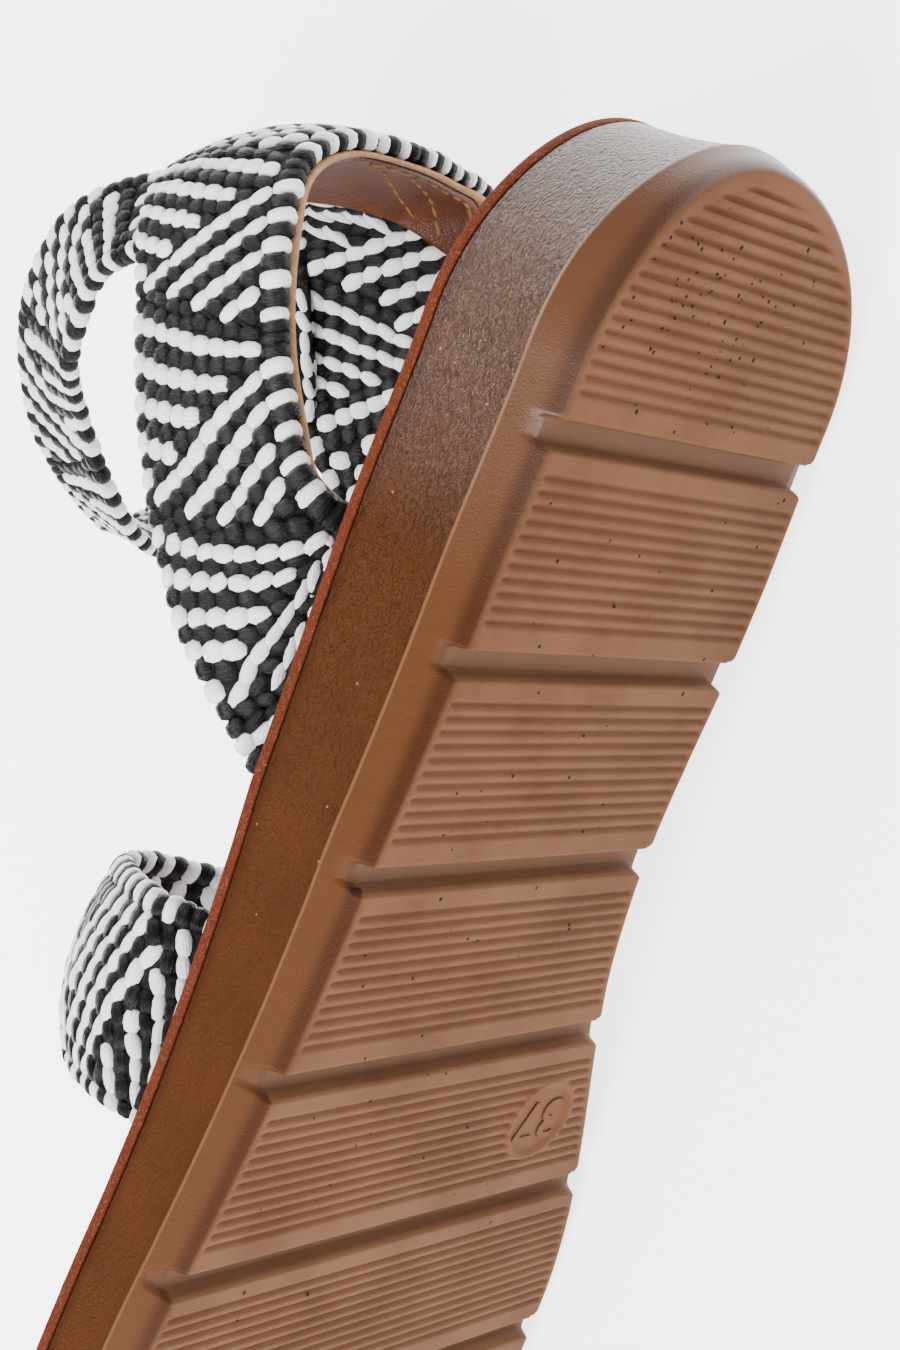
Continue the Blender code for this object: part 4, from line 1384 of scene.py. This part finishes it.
@dataclass
class HeelLining:
    """Leather lining inside the back of the heel ring, with two stitched ends."""

    band: Band
    place: ShoeFrame
    rear: tuple[float, float] = (0.411, 0.672)
    front: tuple[float, float] = (0.473, 0.545)
    inside: float = 0.00225
    half: float = 0.00045
    margin: float = 0.0010
    stitch: float = 0.0026
    stitch_gap: float = 0.0034
    seams: tuple[tuple[tuple[float, float], ...], ...] = (
        ((0.486, 0.20), (0.542, 0.36), (0.583, 0.40), (0.612, 0.36)),
        ((0.525, 0.16), (0.579, 0.24), (0.613, 0.25), (0.636, 0.21)))
    thread: PlainFinish = PlainFinish("lining_thread", (0.26, 0.12, 0.035), 0.6)

    def spot(self, step: Array, across: Array) -> tuple[Array, Array]:
        """Share along the ring, and the across share, at a place of the lining."""
        across = np.asarray(across, float)
        low = self.rear[0] + (self.front[0] - self.rear[0]) * across
        high = self.rear[1] + (self.front[1] - self.rear[1]) * across
        return low + (high - low) * np.asarray(step, float), across

    def build(self) -> list[bpy.types.Object]:
        """Make the leather and its stitches."""
        margin = self.margin / self.band.width
        across = np.linspace(margin, 1 - margin, 17)
        share, across = self.spot(np.linspace(0, 1, 90)[:, None], across[None, :])
        across = np.broadcast_to(across, share.shape)
        point, normal = self.band.point(share, across), self.band.normal(share, across)
        edge = np.minimum(1, 0.45 + 9 * np.minimum(across, 1 - across))[..., None]
        upper = point - normal * (self.inside - self.half * edge)
        lower = point - normal * (self.inside + self.half * edge)
        loop = np.concatenate([upper, lower[:, ::-1]], axis=1)
        mesh = mesh_from_grid("lining_leather", self.place.place(loop), True, {"place": loop / MM}, caps=True)
        leather = new_piece("lining_leather", mesh, [LiningFinish().material()], ["heel_lining"])
        return [leather, self.stitches()]

    def stitches(self) -> bpy.types.Object:
        """Tan stitches along the rear edge and in two lines over the inner end."""
        knots = Knots()
        width = self.band.width
        rear = self.spot(np.linspace(0.03, 0.97, 400), np.full(400, 0.075))
        lines = [rear]
        for seam in self.seams:
            marks = through(np.array(seam), np.linspace(0, len(seam) - 1, 300))
            lines.append((marks[:, 0], marks[:, 1]))
        for share, across in lines:
            path = self.band.point(share, across)
            run = np.concatenate([[0], np.cumsum(np.linalg.norm(np.diff(path, axis=0), axis=1))])
            count = max(2, int(run[-1] / self.stitch_gap))
            places = np.interp((np.arange(count) + 0.5) / count * run[-1], run, np.arange(len(run)))
            share = np.interp(places, np.arange(len(run)), share)
            across = np.interp(places, np.arange(len(run)), across)
            normal = self.band.normal(share, across)
            centre = self.band.point(share, across) - normal * (self.inside + self.half)
            index = np.clip(places.astype(int), 0, len(path) - 2)
            along = unit(path[index + 1] - path[index])
            size = np.tile([[self.stitch / 2, 0.34 * MM, 0.26 * MM]], (count, 1))
            knots.add(centre, -normal, along, size, np.ones(count))
        thread = self.thread.material()
        tree = KnotTree("lining_stitches", segments=8, rings=5, fullness=0.15, unevenness=0.05)
        mesh = tree.grow(knots.carrier("stitch_points", self.place), thread)
        LOG.info("lining width %.1f mm", width / MM)
        return new_piece("lining_stitches", mesh, [thread])


@dataclass
class Uppers:
    """All woven straps of the sandal."""

    last: Last
    place: ShoeFrame
    ring: StrapPattern = StrapPattern((
        Fold(-0.530, 0.203, 0.150, -0.588, 0.313, 0.285),
        Fold(-0.524, 0.183, 0.240, -0.575, 0.276, 0.483),
        Fold(-0.515, 0.150, 0.350, -0.555, 0.232, 0.650),
        Fold(-0.500, 0.106, 0.440, -0.545, 0.175, 0.790),
        Fold(-0.417, 0.073, 0.530, -0.545, 0.122, 0.870),
        Fold(-0.233, 0.056, 0.600, -0.360, 0.096, 0.950),
        Fold(0.000, 0.053, 0.622, -0.070, 0.090, 1.030),
        Fold(0.210, 0.056, 0.655, 0.165, 0.100, 1.150),
        Fold(0.400, 0.064, 0.690, 0.300, 0.130, 1.250),
        Fold(0.485, 0.102, 0.720, 0.360, 0.180, 1.235),
        Fold(0.500, 0.150, 0.690, 0.375, 0.229, 1.100),
        Fold(0.485, 0.190, 0.530, 0.390, 0.275, 0.835),
        Fold(0.455, 0.216, 0.260, 0.410, 0.315, 0.430),
    ), Root(0.215, 0.356), Root(0.228, 0.340), 0.060, 0.0020, 0.0515)
    midfoot: StrapPattern = StrapPattern((
        Fold(-0.367, 0.427, 0.190, -0.386, 0.543, 0.200),
        Fold(-0.325, 0.438, 0.358, -0.355, 0.553, 0.345),
        Fold(-0.259, 0.453, 0.550, -0.289, 0.569, 0.550),
        Fold(-0.145, 0.476, 0.815, -0.169, 0.598, 0.780),
        Fold(-0.024, 0.490, 0.940, -0.024, 0.614, 0.890),
        Fold(0.096, 0.500, 0.938, 0.132, 0.622, 0.895),
        Fold(0.229, 0.504, 0.850, 0.277, 0.618, 0.755),
        Fold(0.319, 0.498, 0.590, 0.380, 0.608, 0.522),
        Fold(0.343, 0.486, 0.285, 0.428, 0.596, 0.240),
    ), Root(0.424, 0.540), Root(0.482, 0.584), 0.050, 0.0032, 0.083)
    toe: StrapPattern = StrapPattern((
        Fold(-0.373, 0.752, 0.320, -0.313, 0.850, 0.280),
        Fold(-0.245, 0.748, 0.560, -0.229, 0.850, 0.500),
        Fold(-0.105, 0.728, 1.000, -0.096, 0.837, 0.830),
        Fold(0.048, 0.724, 1.130, 0.060, 0.835, 0.930),
        Fold(0.241, 0.726, 0.980, 0.229, 0.835, 0.780),
        Fold(0.398, 0.732, 0.520, 0.349, 0.835, 0.370),
    ), Root(0.752, 0.850), Root(0.737, 0.832), 0.030, 0.0020, 0.083)
    ankle_folds: tuple[Fold, ...] = (
        Fold(-0.530, 0.172, 0.740, -0.485, 0.142, 0.900),
        Fold(-0.390, 0.228, 0.875, -0.360, 0.216, 1.088),
        Fold(-0.180, 0.270, 0.980, -0.136, 0.291, 1.188),
        Fold(0.058, 0.327, 1.005, 0.097, 0.337, 1.215),
        Fold(0.270, 0.352, 1.025, 0.310, 0.360, 1.242),
        Fold(0.430, 0.325, 1.010, 0.450, 0.333, 1.225),
        Fold(0.430, 0.252, 0.960, 0.400, 0.220, 1.150),
    )
    ankle_rise: float = 0.080
    ankle_camber: float = 0.0006
    ankle_outer: tuple[float, float] = (0.362, 0.438)
    ankle_inner: tuple[float, float] = (0.731, 0.638)
    join_overlap: float = 0.0060
    ring_outer_chart: WeaveChart = WeaveChart(
        ((-11.0, 0.487, 0.492), (0.0, 0.410, 0.375), (4.0, 0.3835, 0.332), (8.0, 0.3535, 0.292),
         (11.0, 0.329, 0.267), (15.0, 0.295, 0.222), (19.0, 0.259, 0.155), (22.0, 0.230, 0.115),
         (26.0, 0.185, 0.0955), (30.0, 0.152, 0.080), (33.0, 0.131, 0.066), (44.0, 0.045, -0.02)),
        shares=(0.0, 0.468))
    ring_inner_chart: WeaveChart = WeaveChart(
        ((-22.0, 0.417, 0.450), (-11.0, 0.520, 0.545), (0.0, 0.623, 0.641), (2.0, 0.642, 0.660),
         (4.0, 0.664, 0.680), (6.0, 0.686, 0.697), (11.0, 0.732, 0.7355), (22.0, 0.855, 0.835),
         (33.0, 0.985, 0.935), (44.0, 1.115, 1.035)), bars=((0.0, 1.0), (2.0, 0.78), (4.0, 0.6), (6.0, 0.38)),
        stripes=(2.2, 4.1, 6.1, 8.1), lean=1.05, stop=9.7, anchor_rear=True, shares=(0.468, 1.0))
    ankle_chart: WeaveChart = WeaveChart(
        ((-11.0, -0.14, -0.14), (77.0, 1.08, 1.08)), columns=5, anchor_rear=True)
    midfoot_chart: WeaveChart = WeaveChart(
        ((-14.0, -0.17, -0.08), (0.0, 0.095, 0.190), (2.0, 0.1235, 0.2245), (4.0, 0.151, 0.264),
         (6.0, 0.192, 0.304), (8.0, 0.230, 0.338), (14.0, 0.335, 0.440), (28.0, 0.590, 0.695),
         (42.0, 0.845, 0.950), (56.0, 1.100, 1.200)), rows=14, stripes=(1.2, 3.1, 5.0, 6.9, 8.8),
        lean=1.12, stop=12.3, anchored_edge=(0.0, 2.0, 4.0, 6.0, 8.0, 10.0, 12.0),
        other_edge=(1.0, 2.9, 4.8, 6.7, 8.6, 10.5, 12.3))
    toe_chart: WeaveChart = WeaveChart(
        ((-14.0, -0.24, -0.15), (56.0, 1.14, 1.25)), rows=14, stripes=(1.2, 3.1, 5.0, 6.9, 8.8),
        lean=1.12, stop=12.3, anchored_edge=(0.0, 2.0, 4.0, 6.0, 8.0, 10.0, 12.0),
        other_edge=(1.0, 2.9, 4.8, 6.7, 8.6, 10.5, 12.3))

    def ankle_band(self, ring: Band) -> Band:
        """Ankle strap, whose ends run into the wall of the ring."""
        tuck = self.join_overlap / ring.width
        low, high = self.ankle_outer
        rear = [ring.point(low, 1 - tuck), ring.point(low, 1.0)]
        front = [ring.point(high, 1 - tuck), ring.point(high, 1.0)]
        for fold in self.ankle_folds:
            rear.append(fold_point(self.last, fold[:3], self.last.heel_width, self.ankle_rise))
            front.append(fold_point(self.last, fold[3:], self.last.heel_width, self.ankle_rise))
        low, high = self.ankle_inner
        rear += [ring.point(low, 1.0), ring.point(low, 1 - tuck)]
        front += [ring.point(high, 1.0), ring.point(high, 1 - tuck)]
        return Band(np.array(rear), np.array(front), self.ankle_camber)

    def build(self) -> list[bpy.types.Object]:
        """Weave the straps and line the heel."""
        raffia = RaffiaFinish().material()
        ring = self.ring.band(self.last)
        ankle = self.ankle_band(ring)
        straps = (
            WovenStrap("heel_ring", ring, (self.ring_outer_chart, self.ring_inner_chart), self.place,
                       raffia, ("heel_strap",), seed=3, steps=170),
            WovenStrap("ankle_strap", ankle, (self.ankle_chart,), self.place, raffia, seed=4,
                       ends=(0.06, 0.94), selvage=(0.0026, 0.0026)),
            WovenStrap("midfoot_strap", self.midfoot.band(self.last), (self.midfoot_chart,), self.place,
                       raffia, ("midfoot_strap",), seed=6),
            WovenStrap("toe_strap", self.toe.band(self.last), (self.toe_chart,), self.place, raffia,
                       ("toe_strap",), seed=7),
        )
        made = []
        for strap in straps:
            made += strap.build()
        made.append(EdgeTape(ring, self.place).build())
        made += HeelLining(ring, self.place).build()
        return made


@dataclass
class Studio:
    """Pale floor, soft lights and the camera at the photograph's angle."""

    place: ShoeFrame
    lens_mm: float = 50.0
    right: tuple[float, float, float] = (0.68245, -0.32519, -0.65461)
    down: tuple[float, float, float] = (0.02426, 0.90517, -0.42436)
    forward: tuple[float, float, float] = (0.73053, 0.27373, 0.62562)
    spot: tuple[float, float, float] = (-0.1763, 0.0061, -0.1276)
    floor_colour: Colour = (0.92, 0.92, 0.92)
    world_strength: float = 0.7

    def floor(self) -> None:
        """Lay the floor."""
        size = 6.0
        corners = [(-size, -size, 0.0), (size, -size, 0.0), (size, size, 0.0), (-size, size, 0.0)]
        mesh = bpy.data.meshes.new("floor")
        mesh.from_pydata(corners, [], [(0, 1, 2, 3)])
        plane = bpy.data.objects.new("floor", mesh)
        bpy.context.scene.collection.objects.link(plane)
        mesh.materials.append(PlainFinish("studio_floor", self.floor_colour, 0.85, 0.01, 2.4).material())

    def light(self, name: str, spot: Sequence[float], size: float, power: float) -> None:
        """Hang a square soft light that faces the shoe."""
        lamp = bpy.data.lights.new(name, "AREA")
        lamp.shape = "SQUARE"
        lamp.size = size
        lamp.energy = power
        holder = bpy.data.objects.new(name, lamp)
        bpy.context.scene.collection.objects.link(holder)
        place = Vector(spot)
        holder.location = place
        holder.rotation_euler = (Vector((0, 0, 0.03)) - place).to_track_quat("-Z", "Y").to_euler()

    def camera(self) -> None:
        """Set up the camera."""
        axes = self.place.point_to(np.array([self.right, self.down, self.forward]))
        spot = self.place.place(np.array(self.spot))
        turn = Matrix((axes[0], -axes[1], -axes[2])).transposed().to_4x4()
        data = bpy.data.cameras.new("photo_camera")
        data.lens = self.lens_mm
        data.sensor_width = 36.0
        data.clip_start = 0.01
        holder = bpy.data.objects.new("photo_camera", data)
        bpy.context.scene.collection.objects.link(holder)
        holder.matrix_world = Matrix.Translation(Vector(spot)) @ turn
        bpy.context.scene.camera = holder

    def build(self) -> None:
        """Set up the floor, the lights, the surroundings and the camera."""
        self.floor()
        self.light("key_softbox", (-0.4, 0.9, 1.4), 1.1, 66.0)
        self.light("tread_softbox", (-1.4, 0.5, 0.55), 1.0, 40.0)
        self.light("back_softbox", (0.9, -0.6, 0.9), 1.0, 30.0)
        world = bpy.data.worlds.new("studio")
        world.use_nodes = True
        background = world.node_tree.nodes["Background"]
        background.inputs["Color"].default_value = (1.0, 1.0, 1.0, 1.0)
        background.inputs["Strength"].default_value = self.world_strength
        bpy.context.scene.world = world
        self.camera()


def corners(box: tuple[Vector, Vector]) -> list[list[float]]:
    """Lowest and highest corner as plain numbers."""
    return [[float(value) for value in corner] for corner in box]


def main() -> None:
    """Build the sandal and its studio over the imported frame."""
    logging.basicConfig(level=logging.INFO, format="%(name)s: %(message)s")
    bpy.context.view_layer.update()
    last = Last()
    place = ShoeFrame.from_record(frame["record"])
    tread = Tread(last)
    sole = MouldedSole(last, place, tread).build()
    SizeStamp(place, tread, sole.data.materials[0]).build()
    Pinholes(last, place, tread).build()
    InsoleBoard(last, place).build()
    Uppers(last, place).build()
    Studio(place).build()


if __name__ == "__main__":
    main()
